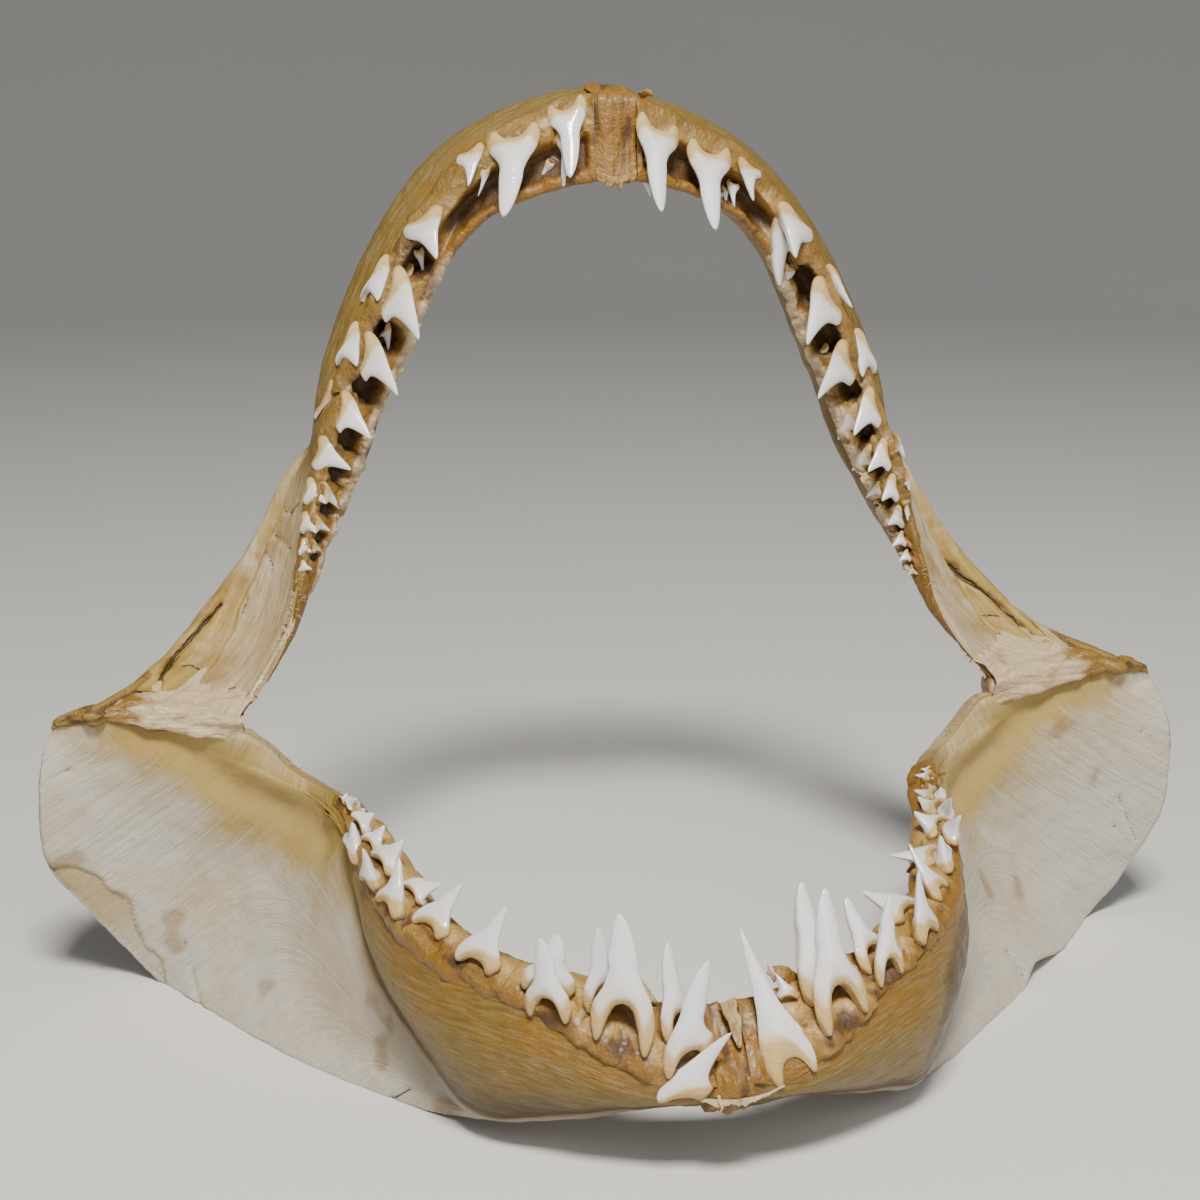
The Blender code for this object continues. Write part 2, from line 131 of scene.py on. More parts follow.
UPPER_REAR_EDGE = (
    (0.00, (6.5, 17, 269)), (0.10, (22, 21, 265)), (0.20, (41, 26, 255)),
    (0.31, (60, 26, 239)), (0.42, (75, 25, 217)), (0.53, (87, 24, 191)),
    (0.61, (93, 22, 171)), (0.68, (103, 19, 157)), (0.75, (114, 16, 138)),
    (0.84, (129, 10, 119)), (0.92, (143, 0, 104)), (1.00, (158, -16, 95)))
LABIAL_BULGE = {
    "left": ((0.0, 6.0), (0.2, 7.0), (0.4, 6.5), (0.55, 6.0), (0.65, 2.0), (0.75, -2.0),
             (0.88, -4.0), (1.0, -1.0)),
    "right": ((0.0, 8.0), (0.2, 11.5), (0.4, 9.5), (0.55, 7.0), (0.65, 2.5), (0.75, -2.0),
              (0.88, -4.0), (1.0, -1.0))}
LINGUAL_BULGE = ((0.0, 2.0), (0.3, 4.0), (0.6, 7.0), (0.72, 7.0), (0.85, 4.0), (1.0, 2.5))
REAR_WALL = ((0.0, 8.0), (0.4, 6.5), (0.7, 5.0), (1.0, 6.0))
UPPER_FURROW = ((0.0, 2.0), (0.12, 5.0), (0.3, 8.0), (0.55, 7.0), (0.7, 3.5), (0.77, 0.5),
                (1.0, 0.0))

# Teeth, as (tip, end of the root's lobe nearer the symphysis, end of the lobe nearer the
# joint, height of the arch between the lobes as a share of the tooth).
UPPER_TEETH = {
    "left": (
        ((12.4, -18.2, 242.5), (6.6, -6.7, 273.2), (20.8, -4.6, 267.6), 0.18),
        ((29.9, -16.8, 236.7), (22.9, -5.1, 264.8), (38, -3, 260.7), 0.18),
        ((44.9, -5, 244.8), (40.5, -2.1, 259.1), (48.3, -0.3, 253.6), 0.10),
        ((57.2, -12.1, 227.4), (54.4, -1.3, 245.5), (66.7, 3.6, 233.3), 0.10),
        ((62.1, -10.2, 199.3), (68.2, -1.6, 221.8), (76.5, -1.3, 206.8), 0.10),
        ((79.6, -1.5, 210), (72.4, 5, 224.4), (77.6, 4.5, 213.4), 0.10),
        ((67.3, -6.2, 181.1), (77.6, -1.3, 200.8), (81.8, -0.1, 186.1), 0.10),
        ((83.6, -2.1, 187.4), (83.4, 5.8, 203.3), (90.5, 6.4, 188.4), 0.10),
        ((78.8, -9.6, 169.2), (86.9, -1.4, 184.9), (90.1, -3.7, 171.9), 0.10),
        ((77.8, 5.4, 165.3), (82.4, -1.2, 179), (85.6, 3.9, 168.8), 0.10),
        ((83.4, -11.6, 157.4), (90.9, -5.7, 168.1), (92.6, -7.9, 157.5), 0.10),
        ((97.1, -7.5, 160.7), (93.4, -5.6, 169.3), (93.6, -7.6, 163.6), 0.10),
        ((82.2, 2.5, 155.2), (87, -3.4, 165.1), (89.1, 0.3, 157.1), 0.10),
        ((88.3, -12.2, 147.6), (93.4, -8, 156.4), (94.9, -9.5, 147.2), 0.10),
        ((98.1, -10, 150.3), (97, -7.9, 156.9), (96.9, -10.2, 152.7), 0.10),
        ((86.2, -1, 146.6), (89.7, -4.9, 153.3), (90.5, -5.1, 148.5), 0.10),
        ((91.2, -10.3, 139.1), (95.4, -9.3, 145.8), (97.7, -7.7, 137.6), 0.10),
        ((97.6, -11.8, 140.6), (97.5, -10.5, 146), (98.1, -11, 142.4), 0.10),
        ((92.7, -11, 132), (97.3, -7.6, 136.6), (97.7, -11.4, 132.3), 0.10),
        ((94.8, -12.1, 127.1), (98.8, -9.1, 130.8), (99.1, -12.7, 127.4), 0.10),
        ((98.4, -11.5, 122), (99.6, -11.4, 126), (101.2, -13.5, 122.8), 0.10),
        ((11.5, -5.3, 246.5), (6.4, -3, 261.5), (10.8, -3.7, 260.2), 0.18),
        ((38, 1.8, 241.1), (36.4, 3.5, 249.8), (39.1, 4.1, 248.5), 0.10),
        ((39.9, -0.2, 242.5), (37.9, 3.1, 251.7), (42.1, 2.6, 249.8), 0.10),
        ((35, 0.1, 243.1), (34, 1.5, 248), (36.9, 2.7, 247.4), 0.10),
        ((55.7, 1.1, 217.1), (53.9, -1.1, 241), (60, 4.4, 229), 0.18),
        ((59.6, 3.3, 213.7), (57.8, 2.3, 224.8), (61.2, 2.3, 222.8), 0.10),
        ((73.4, 6.7, 192.8), (72.8, 5.2, 198.2), (70.5, 4.2, 195.2), 0.10)),
    "right": (
        ((15.9, -15, 253), (8.8, -1.2, 278.3), (21.4, -0.6, 273.7), 0.18),
        ((36.7, -14.1, 241.3), (23.2, -3.9, 269.9), (39.4, 1.3, 265.9), 0.18),
        ((46.3, -5.4, 250.3), (40.7, 0.8, 263.7), (48.9, 3.6, 258.6), 0.10),
        ((56.9, -10.1, 228.5), (55, -1.4, 245.3), (66.3, 3.7, 236.5), 0.10),
        ((63.1, -12, 203.8), (68.5, -0.7, 227), (74.2, -1.4, 210.4), 0.10),
        ((74.8, -0.6, 214.9), (71.2, 4, 229.7), (79.7, 5.4, 215.3), 0.10),
        ((69.8, -9.3, 186.1), (78.7, -0.2, 206.5), (81, -0.9, 191.5), 0.10),
        ((81.9, -1.2, 194.6), (81.7, 4.5, 208.9), (88.4, 5.4, 195.3), 0.10),
        ((78.6, -9.2, 172.7), (86.7, -0.3, 187.7), (89.5, -3.9, 175.3), 0.10),
        ((89.9, 6.8, 176.2), (89.8, 5, 190.3), (95.5, 6.8, 177.7), 0.10),
        ((85.2, -11.7, 163.5), (94, 0.6, 173.2), (97.2, -0.5, 162.5), 0.10),
        ((93.3, -10, 152.8), (97.9, -0.2, 159.9), (100.2, -1.4, 151.4), 0.10),
        ((88.3, -2.4, 149), (94.1, -6.1, 159.6), (94.1, -6.7, 152.5), 0.10),
        ((96.8, -13.1, 144), (99.7, -4.2, 149.6), (101.3, -4.7, 142.6), 0.10),
        ((91.8, -5.2, 142.5), (96.9, -9, 149.2), (97.3, -9.5, 143.8), 0.10),
        ((98.6, -12.4, 137.7), (100.4, -7.6, 141.6), (102.2, -8.3, 136), 0.10),
        ((94.9, -6.5, 136.4), (98, -10.6, 141.6), (98.2, -10.3, 137), 0.10),
        ((98.5, -15.2, 132.9), (101.4, -11.4, 135.4), (102.8, -11.4, 131.3), 0.10),
        ((100.7, -11.3, 128.2), (103.1, -11.7, 130.7), (103.9, -12.9, 128.1), 0.10),
        ((16.8, -7.3, 249.9), (10.7, -4.3, 267.6), (18.3, -2.5, 266.8), 0.18),
        ((23.8, 0.6, 250.4), (20.5, -0.7, 258.5), (18.3, -2.1, 256.7), 0.10),
        ((42.8, -0.6, 246.8), (38.7, -1.8, 256.3), (41.8, -1.5, 255.1), 0.10),
        ((59.5, 6, 221.2), (59.8, 3.6, 231.4), (63, 4.4, 230.2), 0.10),
        ((63.2, 8.3, 218.9), (63.2, 7.2, 226.3), (65.2, 5.4, 222), 0.10),
        ((71.3, 7, 198.2), (71.3, 4.6, 208.4), (74.1, 7.3, 203.6), 0.10))}
LOWER_TEETH = {
    "left": (
        ((5.4, -160.4, 65.1), (11, -178.7, 25.9), (24.3, -176.1, 30.2), 0.14),
        ((14.8, -162, 51.8), (20.9, -165.5, 45.7), (15.2, -164.5, 45.1), 0.14),
        ((29.2, -158.2, 73.7), (24.9, -175.4, 37.9), (40, -168.2, 42.4), 0.30),
        ((23.7, -154.3, 74.2), (23.4, -168.6, 42.9), (36.4, -155.4, 49.6), 0.27),
        ((49.2, -153.3, 68.6), (43.1, -163.4, 45.3), (52.5, -157.4, 47.5), 0.27),
        ((38.8, -145.8, 65.4), (41.8, -158.4, 46.6), (50.5, -150.1, 50.5), 0.27),
        ((61.2, -140.6, 69.9), (59.2, -150.6, 50.7), (67.4, -140.9, 51.9), 0.14),
        ((46.3, -136.3, 62.6), (56.6, -140.6, 52.9), (66.1, -127.6, 54.2), 0.14),
        ((66.4, -116.1, 68.1), (71.7, -129.8, 54.4), (77.2, -120.5, 56.1), 0.14),
        ((62.4, -111.4, 62.8), (75.2, -114.9, 59.9), (79.6, -103.8, 61.7), 0.14),
        ((77.9, -110.8, 67.8), (78.7, -117.7, 57.7), (81.9, -104.6, 61.3), 0.14),
        ((75.6, -92.9, 69), (80, -100.8, 62.5), (85.9, -88.1, 64.4), 0.14),
        ((86.3, -104.1, 71), (84.6, -104, 60.8), (87.4, -92.3, 63.3), 0.14),
        ((86.7, -94.7, 73.2), (88.9, -89.6, 62.9), (89.5, -81.3, 65), 0.14),
        ((83.3, -73.7, 66.7), (84.8, -87.3, 64.9), (89, -76.8, 66.2), 0.14),
        ((84.7, -65.6, 65.9), (87.7, -76.8, 66.2), (92.1, -66.2, 66.3), 0.14),
        ((86.5, -60.5, 64.9), (90.7, -66.4, 66), (93.2, -60.6, 67.6), 0.14),
        ((87, -59.3, 68.5), (90.5, -63.6, 67.8), (93, -59, 69.4), 0.14),
        ((89.5, -57.4, 69.8), (91.5, -59.7, 68.8), (93, -57.2, 70.4), 0.14),
        ((89.3, -77.5, 70.6), (90.1, -78.6, 65.7), (90.5, -74.3, 68.5), 0.14)),
    "right": (
        ((0.9, -179, 44), (7, -179, 25.7), (20.9, -176.9, 24.7), 0.06),
        ((5.9, -173.3, 62), (4.8, -175.5, 36.2), (18.7, -177.8, 31.2), 0.17),
        ((15.6, -167.5, 65.2), (6.9, -169.3, 41.1), (17, -174.4, 38.2), 0.27),
        ((28, -164.7, 73), (21.4, -176.7, 36.8), (37.1, -170.3, 41.5), 0.34),
        ((34, -167.9, 70.6), (26.5, -161.5, 46.2), (37.3, -165.4, 45.8), 0.27),
        ((48.1, -160.9, 65.9), (40.7, -166.9, 43.7), (51.8, -158, 43.4), 0.27),
        ((43.3, -160.1, 66.1), (38.9, -160.5, 47.9), (53.2, -155.1, 50), 0.27),
        ((54.8, -145.8, 69.2), (58.9, -150.1, 50.8), (68.8, -139.5, 52.7), 0.14),
        ((64.7, -126.5, 68.6), (70.8, -130.8, 53.5), (78.5, -118.9, 55.6), 0.14),
        ((69.8, -117.6, 65.4), (75.5, -118.2, 59.2), (80, -105.6, 61.5), 0.14),
        ((80.2, -107.7, 70.3), (81.9, -119.7, 55.8), (86.5, -104, 56.7), 0.14),
        ((78.3, -99.3, 72.2), (82.4, -104.2, 62.3), (86.9, -88.7, 64.5), 0.14),
        ((90, -101.8, 71.5), (86.2, -103.9, 58.5), (90, -92.7, 58.8), 0.14),
        ((82.5, -84.8, 71.8), (85.3, -90.4, 64.7), (89, -79.2, 66.1), 0.14),
        ((80.6, -71.1, 62.8), (85.9, -79.8, 66.7), (86.8, -74.4, 67.3), 0.14),
        ((85.1, -79, 73.5), (87.7, -79.6, 66.3), (91.5, -71.6, 71), 0.14),
        ((91.6, -78.1, 70.9), (90.6, -84.2, 58.7), (93.1, -69.9, 62.9), 0.14),
        ((86.6, -63.3, 69.3), (88.7, -68.6, 68.5), (91.2, -62.1, 70.1), 0.14),
        ((89.3, -65.8, 73.5), (90.7, -63.1, 68.6), (92.4, -57, 70.4), 0.14),
        ((91.8, -56.3, 72.4), (92.6, -59.9, 69.5), (93.8, -54.8, 70.7), 0.14),
        ((76.6, -101.2, 60), (79.2, -109.1, 60.9), (80.8, -105.3, 62.5), 0.14))}

TEETH = {"lower": LOWER_TEETH, "upper": UPPER_TEETH}

# Pockets behind the upper teeth, sunk and darkened with painted shade, as (share along the
# rim, share across the crest, half length, half width).
UPPER_POCKETS = {
    "left": ((0.335, 0.45, 5.0, 4.0), (0.39, 0.48, 6.0, 3.4), (0.46, 0.56, 3.8, 4.4),
             (0.532, 0.62, 3.4, 5.0), (0.591, 0.62, 2.6, 4.8), (0.643, 0.7, 2.0, 3.9),
             (0.685, 0.7, 1.9, 3.4), (0.721, 0.72, 1.5, 2.5), (0.752, 0.7, 1.2, 1.9),
             (0.772, 0.7, 0.9, 1.5)),
    "right": ((0.357, 0.3, 6.4, 4.0), (0.446, 0.44, 4.6, 4.2), (0.515, 0.46, 3.7, 4.4),
              (0.579, 0.52, 3.4, 4.7), (0.627, 0.58, 3.0, 4.1), (0.671, 0.58, 2.2, 3.4),
              (0.708, 0.62, 1.7, 2.2), (0.733, 0.6, 1.2, 2.0))}

# ------------------------------------------------------------------ settings


def colour(title, shade, about):
    """Colour setting that a user may change."""
    return FloatVectorProperty(name=title, description=about, subtype="COLOR", size=3,
                               min=0, max=1, default=shade)


def length(title, metres, about):
    """Length setting in metres."""
    return FloatProperty(name=title, description=about, default=metres, min=0,
                         subtype="DISTANCE", unit="LENGTH")


def share(title, value, about):
    """Setting between nought and one."""
    return FloatProperty(name=title, description=about, default=value, min=0, max=1,
                         subtype="FACTOR")


class JawCartilageSettings(PropertyGroup):
    """Finish of the dried cartilages."""
    chalk: colour("Chalk", (0.56, 0.525, 0.44), "Pale face of the wings")
    cream: colour("Cream", (0.50, 0.36, 0.17), "Warm tint between chalk and ochre")
    ochre: colour("Ochre", (0.178, 0.11, 0.012), "Tooth-bearing bands and the upper arch")
    amber: colour("Amber", (0.25, 0.12, 0.008), "Stain that the gums left")
    sulphur: colour("Sulphur", (0.38, 0.25, 0.045), "Yellow groove below the joint")
    # Umber also serves as painted shade in the creases, troughs and cracks.
    umber: colour("Umber", (0.055, 0.032, 0.010), "Brown dried edges and creases")
    roughness: share("Roughness", 0.45, "Roughness of the bare cartilage")
    fibre: length("Fibre width", 0.0009, "Width of the fine fibres in the surface")


class JawToothSettings(PropertyGroup):
    """Finish and build of the teeth."""
    enamel: colour("Enamel", (0.84, 0.835, 0.83), "Glossy crown")
    root: colour("Root", (0.56, 0.38, 0.155), "Porous root")
    stain: colour("Stain", (0.34, 0.17, 0.035), "Stain round the foot of a root")
    segments: IntProperty(name="Segments", description="Faces round a tooth", default=36, min=8)
    rings: IntProperty(name="Rings", description="Faces up a tooth", default=34, min=8)


class JawTissueSettings(PropertyGroup):
    """Finish and thickness of dried gums and ligaments."""
    gum: colour("Gum", (0.24, 0.115, 0.012), "Dried gum round the teeth")
    sleeve: colour("Sleeve", (0.41, 0.245, 0.065), "Gum drawn tight over a root")
    edge: colour("Edge", (0.26, 0.155, 0.024), "Gum where it thins out over the cartilage")
    # Brown and Dark are painted shade in hollows, folds and pockets; Brown also tints random
    # blotches.
    brown: colour("Brown", (0.075, 0.034, 0.008), "Hollows between the roots")
    dark: colour("Dark", (0.022, 0.012, 0.006), "Deepest pockets")
    skin: colour("Skin", (0.55, 0.42, 0.25), "Thin torn membrane")
    thickness: length("Gum thickness", 0.0009, "Thickness of the gum over the cartilage")
    membrane: length("Membrane thickness", 0.0005, "Thickness of the torn membrane")


class JawStudioSettings(PropertyGroup):
    """Floor, lamps and camera."""
    floor: colour("Floor", (0.72, 0.70, 0.67), "Plain pale floor")
    key: FloatProperty(name="Key", description="Power of the main lamp", default=36, min=0,
                       unit="POWER")
    fill: FloatProperty(name="Fill", description="Power of the soft lamp", default=4, min=0,
                        unit="POWER")
    lens: FloatProperty(name="Lens", description="Focal length in millimetres", default=62.76,
                        min=1)


# ------------------------------------------------------------------ curves


def through(keys, u):
    """Smooth values at u of a curve through keys, which are (u, value) pairs."""
    at = np.array([key[0] for key in keys], float)
    values = np.array([key[1] for key in keys], float)
    column = (slice(None),) + (None,) * (values.ndim - 1)
    step = np.diff(at)[column]
    rise = np.diff(values, axis=0) / step
    slopes = np.concatenate((rise[:1], rise[:1].repeat(len(at) - 2, 0), rise[-1:]))
    slopes[1:-1] = (rise[:-1] * step[1:] + rise[1:] * step[:-1]) / (step[1:] + step[:-1])
    u = np.asarray(u, float)
    i = np.clip(np.searchsorted(at, u, side="right") - 1, 0, len(at) - 2)
    t = ((u - at[i]) / np.diff(at)[i]).reshape(u.shape + (1,) * (values.ndim - 1))
    return ((2 * t**3 - 3 * t**2 + 1) * values[i] + (t**3 - 2 * t**2 + t) * step[i] * slopes[i]
            + (3 * t**2 - 2 * t**3) * values[i + 1] + (t**3 - t**2) * step[i] * slopes[i + 1])


def evenly(line):
    """Keys that space the points of a line evenly from nought to one."""
    return list(zip(np.linspace(0, 1, len(line)), line))


def stacked(*parts):
    """Points from their coordinates, given as arrays whose shapes fit together."""
    return np.stack(np.broadcast_arrays(*parts), axis=-1)


def unit(vectors):
    """Directions of vectors, one long."""
    return vectors / np.maximum(np.linalg.norm(vectors, axis=-1, keepdims=True), 1e-9)


def tangent(keys, u):
    """Directions in which a guide runs at u."""
    u = np.asarray(u, float)
    return unit(through(keys, np.minimum(1, u + 0.01)) - through(keys, np.maximum(0, u - 0.01)))


def ease(low, high, value):
    """Smooth rise from nought at low to one at high."""
    t = np.clip((np.asarray(value, float) - low) / (high - low), 0, 1)
    return t * t * (3 - 2 * t)


def spread(knots, shares):
    """Points at the shares of smooth lines through evenly spaced knots, one line a row."""
    count = knots.shape[1]
    keys = [(k / (count - 1), np.eye(count)[k]) for k in range(count)]
    return np.einsum("tk,nkd->ntd", through(keys, shares), knots)


def line_distance(points, start, end):
    """Distances of points from a straight piece of line."""
    run = end - start
    part = np.clip((points - start) @ run / max(run @ run, 1e-6), 0, 1)
    return np.linalg.norm(points - start - part[..., None] * run, axis=-1)


def to_world(points, side):
    """Guide millimetres of one side, as points of the model in metres."""
    sign = 1 if side == "left" else -1
    return (points * (sign, 1, 1) + (SIDE_SHIFT, BACK_SHIFT, 0)) * MM


def ripple(points, size, octaves=3, seed=0.0):
    """Soft noise between about -1 and 1 at points in millimetres, with lumps of a size."""
    flat = np.asarray(points, float).reshape(-1, 3) / size + (seed, 2.3 * seed, -1.7 * seed)
    found = [noise.fractal(Vector(p), 1.0, 2.0, octaves) for p in flat.tolist()]
    return np.array(found).reshape(points.shape[:-1])


# ------------------------------------------------------------------ cartilage surfaces

# Millimetres that count as far from every feature.
FAR = 1000.0


def lower_rim(keys, u):
    """Points of a lower rim, which runs straight under the joint."""
    ends = through(keys, (JOINT_START, JOINT_END))
    part = ((u - JOINT_START) / (JOINT_END - JOINT_START))[:, None]
    under = (part > 0) & (part < 1)
    return np.where(under, (1 - part) * ends[0] + part * ends[1], through(keys, u))


def lower_faces(u, side):
    """Outer and inner knots of lower sections, from the tooth rim to the lower edge."""
    rim = lower_rim(LOWER_LABIAL_RIM, u)
    lingual = lower_rim(LOWER_LINGUAL_RIM, u)
    crease = through(LOWER_CREASE, u)
    edge = through(LOWER_EDGE[side], u)
    band_out = unit(np.cross(crease - rim, tangent(LOWER_LABIAL_RIM, u)))
    wing_out = unit(np.cross(edge - crease, tangent(LOWER_CREASE, u)))
    crease_out = unit(band_out + wing_out)
    band = (rim + crease) / 2 + band_out * through(BAND_BULGE, u)[:, None]
    wing = (crease + edge) / 2 - wing_out * through(WING_SAG, u)[:, None]
    wall = through(CREASE_WALL, u)[:, None]
    width = np.linalg.norm(lingual - rim, axis=1)[:, None]
    outer = np.stack((rim, band, crease, wing, edge), axis=1)
    inner = np.stack((lingual, band - band_out * np.maximum(wall, BAND_SHARE * width),
                      crease - crease_out * wall, wing - wing_out * np.minimum(wall, WING_WALL),
                      edge - wing_out * EDGE_WALL), axis=1)
    return outer, inner


def upper_faces(u, side):
    """Outer and inner knots of upper sections, from the tooth rim to the rear edge."""
    rim = through(UPPER_LABIAL_RIM, u)
    lingual = through(UPPER_LINGUAL_RIM, u)
    rear = through(UPPER_REAR_EDGE, u)
    out = unit(np.cross(tangent(UPPER_LABIAL_RIM, u), rear - rim))
    bulge = (rim + rear) / 2 + out * through(LABIAL_BULGE[side], u)[:, None]
    rear_inner = rear - out * through(REAR_WALL, u)[:, None]
    middle = (lingual + rear_inner) / 2 - out * through(LINGUAL_BULGE, u)[:, None]
    return np.stack((rim, bulge, rear), axis=1), np.stack((lingual, middle, rear_inner), axis=1)


class Loft:
    """Dense surface of one cartilage: rows run along it and columns run round it.

    Columns go down the outer face, round the edge, up the inner face and across the
    crest that carries the teeth. `face` is 0, 1, 2 or 3 for those and `t` the share.
    """

    def __init__(self, jaw, side, rows, counts, furrow=1.0):
        if jaw == "lower":
            faces, guide, furrows = lower_faces, LOWER_LABIAL_RIM, LOWER_FURROW
        else:
            faces, guide, furrows = upper_faces, UPPER_LABIAL_RIM, UPPER_FURROW
        self.side = side
        self.facing = FACING[jaw]
        self.u = np.linspace(0, 1, rows)
        outer_count, edge_count, inner_count, crest_count = counts
        outer, inner = faces(self.u, side)
        down = 1 - (1 - np.linspace(0, 1, outer_count))**1.15
        up = np.linspace(1, 0, inner_count)
        front = spread(outer, down)
        back = spread(inner, up)
        turn = np.linspace(0, pi, edge_count + 2)[1:-1]
        middle = (front[:, -1] + back[:, 0])[:, None] / 2
        half = (front[:, -1] - back[:, 0])[:, None] / 2
        reach = np.linalg.norm(half, axis=-1)[..., None]
        beyond = unit(front[:, -1] - front[:, -3])[:, None] * reach
        edge = middle + half * np.cos(turn)[:, None] + beyond * np.sin(turn)[:, None] * 0.8
        across = np.linspace(1, 0, crest_count + 2)[1:-1]
        rim = front[:, 0][:, None]
        lingual = back[:, -1][:, None]
        deep = through(furrows, self.u)[:, None, None] * furrow
        self.oral = unit(np.cross(tangent(guide, self.u), (lingual - rim)[:, 0])) * self.facing
        bow = (4 * across * (1 - across))[:, None]
        crest = rim + (lingual - rim) * across[:, None] - self.oral[:, None] * deep * bow
        self.points = np.concatenate((front, edge, back, crest), axis=1)
        self.face = np.repeat((0, 1, 2, 3), counts)
        self.t = np.concatenate((down, turn / pi, up, across))
        if jaw == "lower":
            self.points[..., 2] = np.maximum(self.points[..., 2], 0)
            self.points[..., 0] = np.maximum(self.points[..., 0], SYMPHYSIS_LOWER)
            self.points[0, :, 0] = SYMPHYSIS_LOWER
        else:
            foot = FOOT_LOW + FOOT_SLOPE * (self.points[..., 0] - FOOT_START)
            low = self.points[..., 2] < foot
            self.points[..., 2] = np.where(low, foot, self.points[..., 2])
            self.points[-1, :, 2] = foot[-1]
            self.points[..., 0] = np.maximum(self.points[..., 0], SYMPHYSIS_UPPER)
            self.points[0, :, 0] = SYMPHYSIS_UPPER
        self.soften(6)

    def soften(self, passes):
        """Round the corners where the faces meet."""
        corner = np.zeros(len(self.t))
        changes = np.flatnonzero(np.diff(np.append(self.face, self.face[0])))
        for place in changes:
            for k in range(-4, 6):
                corner[(place + k) % len(corner)] = 0.5
        for _ in range(passes):
            mean = (np.roll(self.points, 1, 1) + np.roll(self.points, -1, 1)) / 2
            self.points += (mean - self.points) * corner[:, None]

    def outward(self):
        """Directions away from the surface."""
        along = np.gradient(self.points, axis=0)
        around = np.roll(self.points, -1, 1) - np.roll(self.points, 1, 1)
        return unit(np.cross(around, along)) * self.facing

    def at(self, u, t, off):
        """Points on the outer face at rows u and shares t down it, a little way off it."""
        u, t, off = np.broadcast_arrays(u, t, off)
        row = u * (len(self.u) - 1)
        outer = np.flatnonzero(self.face == 0)
        column = np.interp(t, self.t[outer], outer)
        found = 0
        normals = self.outward()
        for i, along in ((np.floor(row), 1 - row % 1), (np.ceil(row), row % 1)):
            for j, across in ((np.floor(column), 1 - column % 1), (np.ceil(column), column % 1)):
                i, j = i.astype(int), j.astype(int)
                corner = self.points[i, j] + normals[i, j] * off[..., None]
                found = found + corner * (along * across)[..., None]
        return found

    def near(self, line, outside=True):
        """Distance of every point from a line, or a lone point, in millimetres.

        The guide points are first drawn to the surface. With `outside`, the inner face
        counts as far away.
        """
        seen = self.points[:, self.face != 2].reshape(-1, 3)
        line = [seen[((seen - place)**2).sum(axis=1).argmin()] for place in line]
        best = np.minimum.reduce([line_distance(self.points, start, end)
                                  for start, end in zip(line, line[1:] or line)])
        return best + FAR * (self.face == 2) if outside else best


# ------------------------------------------------------------------ meshes

# Metres within which the borders of a closed quilt meet.
SEAM_GAP = 0.000005


def alone():
    """Leave nothing selected, outside edit mode."""
    if bpy.context.object and bpy.context.object.mode != "OBJECT":
        bpy.ops.object.mode_set(mode="OBJECT")
    bpy.ops.object.select_all(action="DESELECT")


def pick(obj):
    """Make one object the selected and active one."""
    alone()
    obj.select_set(True)
    bpy.context.view_layer.objects.active = obj


def place_points(mesh, points):
    """Put a mesh's vertices on points in metres."""
    mesh.vertices.foreach_set("co", np.asarray(points, np.float32).ravel())
    mesh.update()


def set_share(mesh, name, values):
    """Keep one number for every vertex, for the materials to read."""
    kept = mesh.attributes.new(name, "FLOAT", "POINT")
    kept.data.foreach_set("value", np.asarray(values, np.float32).ravel())


def points_of(mesh):
    """A mesh's vertices, as rows of coordinates."""
    flat = np.zeros(len(mesh.vertices) * 3)
    mesh.vertices.foreach_get("co", flat)
    return flat.reshape(-1, 3)


def copy_of(pattern, name):
    """Copy of a pattern with its own mesh."""
    obj = pattern.copy()
    obj.data = pattern.data.copy()
    obj.name = name
    bpy.context.collection.objects.link(obj)
    return obj


def quilt(name, points, fields, fibres=None):
    """Grid primitive laid over rows and columns of points in metres."""
    rows, columns = points.shape[:2]
    alone()
    bpy.ops.mesh.primitive_grid_add(x_subdivisions=rows - 1, y_subdivisions=columns - 1,
                                    size=1, location=(0, 0, 0))
    obj = bpy.context.object
    obj.name = name
    mesh = obj.data
    mesh.name = name
    flat = points_of(mesh)
    row = np.rint((flat[:, 0] + 0.5) * (rows - 1)).astype(int)
    column = np.rint((flat[:, 1] + 0.5) * (columns - 1)).astype(int)
    place_points(mesh, points[row, column])
    for key, values in fields.items():
        set_share(mesh, key, np.broadcast_to(values, (rows, columns))[row, column])
    if fibres is not None:
        corners = np.zeros(len(mesh.loops), int)
        mesh.loops.foreach_get("vertex_index", corners)
        layer = mesh.uv_layers.active
        layer.name = "fibres"
        layer.data.foreach_set("uv", fibres[row, column][corners].astype(np.float32).ravel())
    return obj


def face_outwards(obj, close=False):
    """Smooth a mesh and turn its faces outwards; a tube is first joined and capped."""
    pick(obj)
    bpy.ops.object.mode_set(mode="EDIT")
    bpy.ops.mesh.select_all(action="SELECT")
    if close:
        bpy.ops.mesh.remove_doubles(threshold=SEAM_GAP)
        bpy.ops.mesh.select_all(action="SELECT")
        bpy.ops.mesh.fill_holes(sides=0)
        bpy.ops.mesh.select_all(action="SELECT")
    bpy.ops.mesh.normals_make_consistent(inside=False)
    bpy.ops.object.mode_set(mode="OBJECT")
    bpy.ops.object.shade_smooth()


def with_seam(values):
    """Repeat the first column at the end, so that a quilt closes."""
    return np.concatenate((values, values[:, :1]), axis=1)


def closed_quilt(name, points, side, fields, fibres=None):
    """Quilt over guide points of one side whose last column meets the first, capped."""
    fields = {key: with_seam(np.broadcast_to(values, points.shape[:2]))
              for key, values in fields.items()}
    obj = quilt(name, with_seam(to_world(points, side)), fields,
                None if fibres is None else with_seam(fibres))
    face_outwards(obj, close=True)
    return obj


def thicken(obj, thickness, offset):
    """Give a sheet its wall."""
    pick(obj)
    wall = obj.modifiers.new("wall", "SOLIDIFY")
    wall.thickness = thickness
    wall.offset = offset
    bpy.ops.object.modifier_apply(modifier=wall.name)


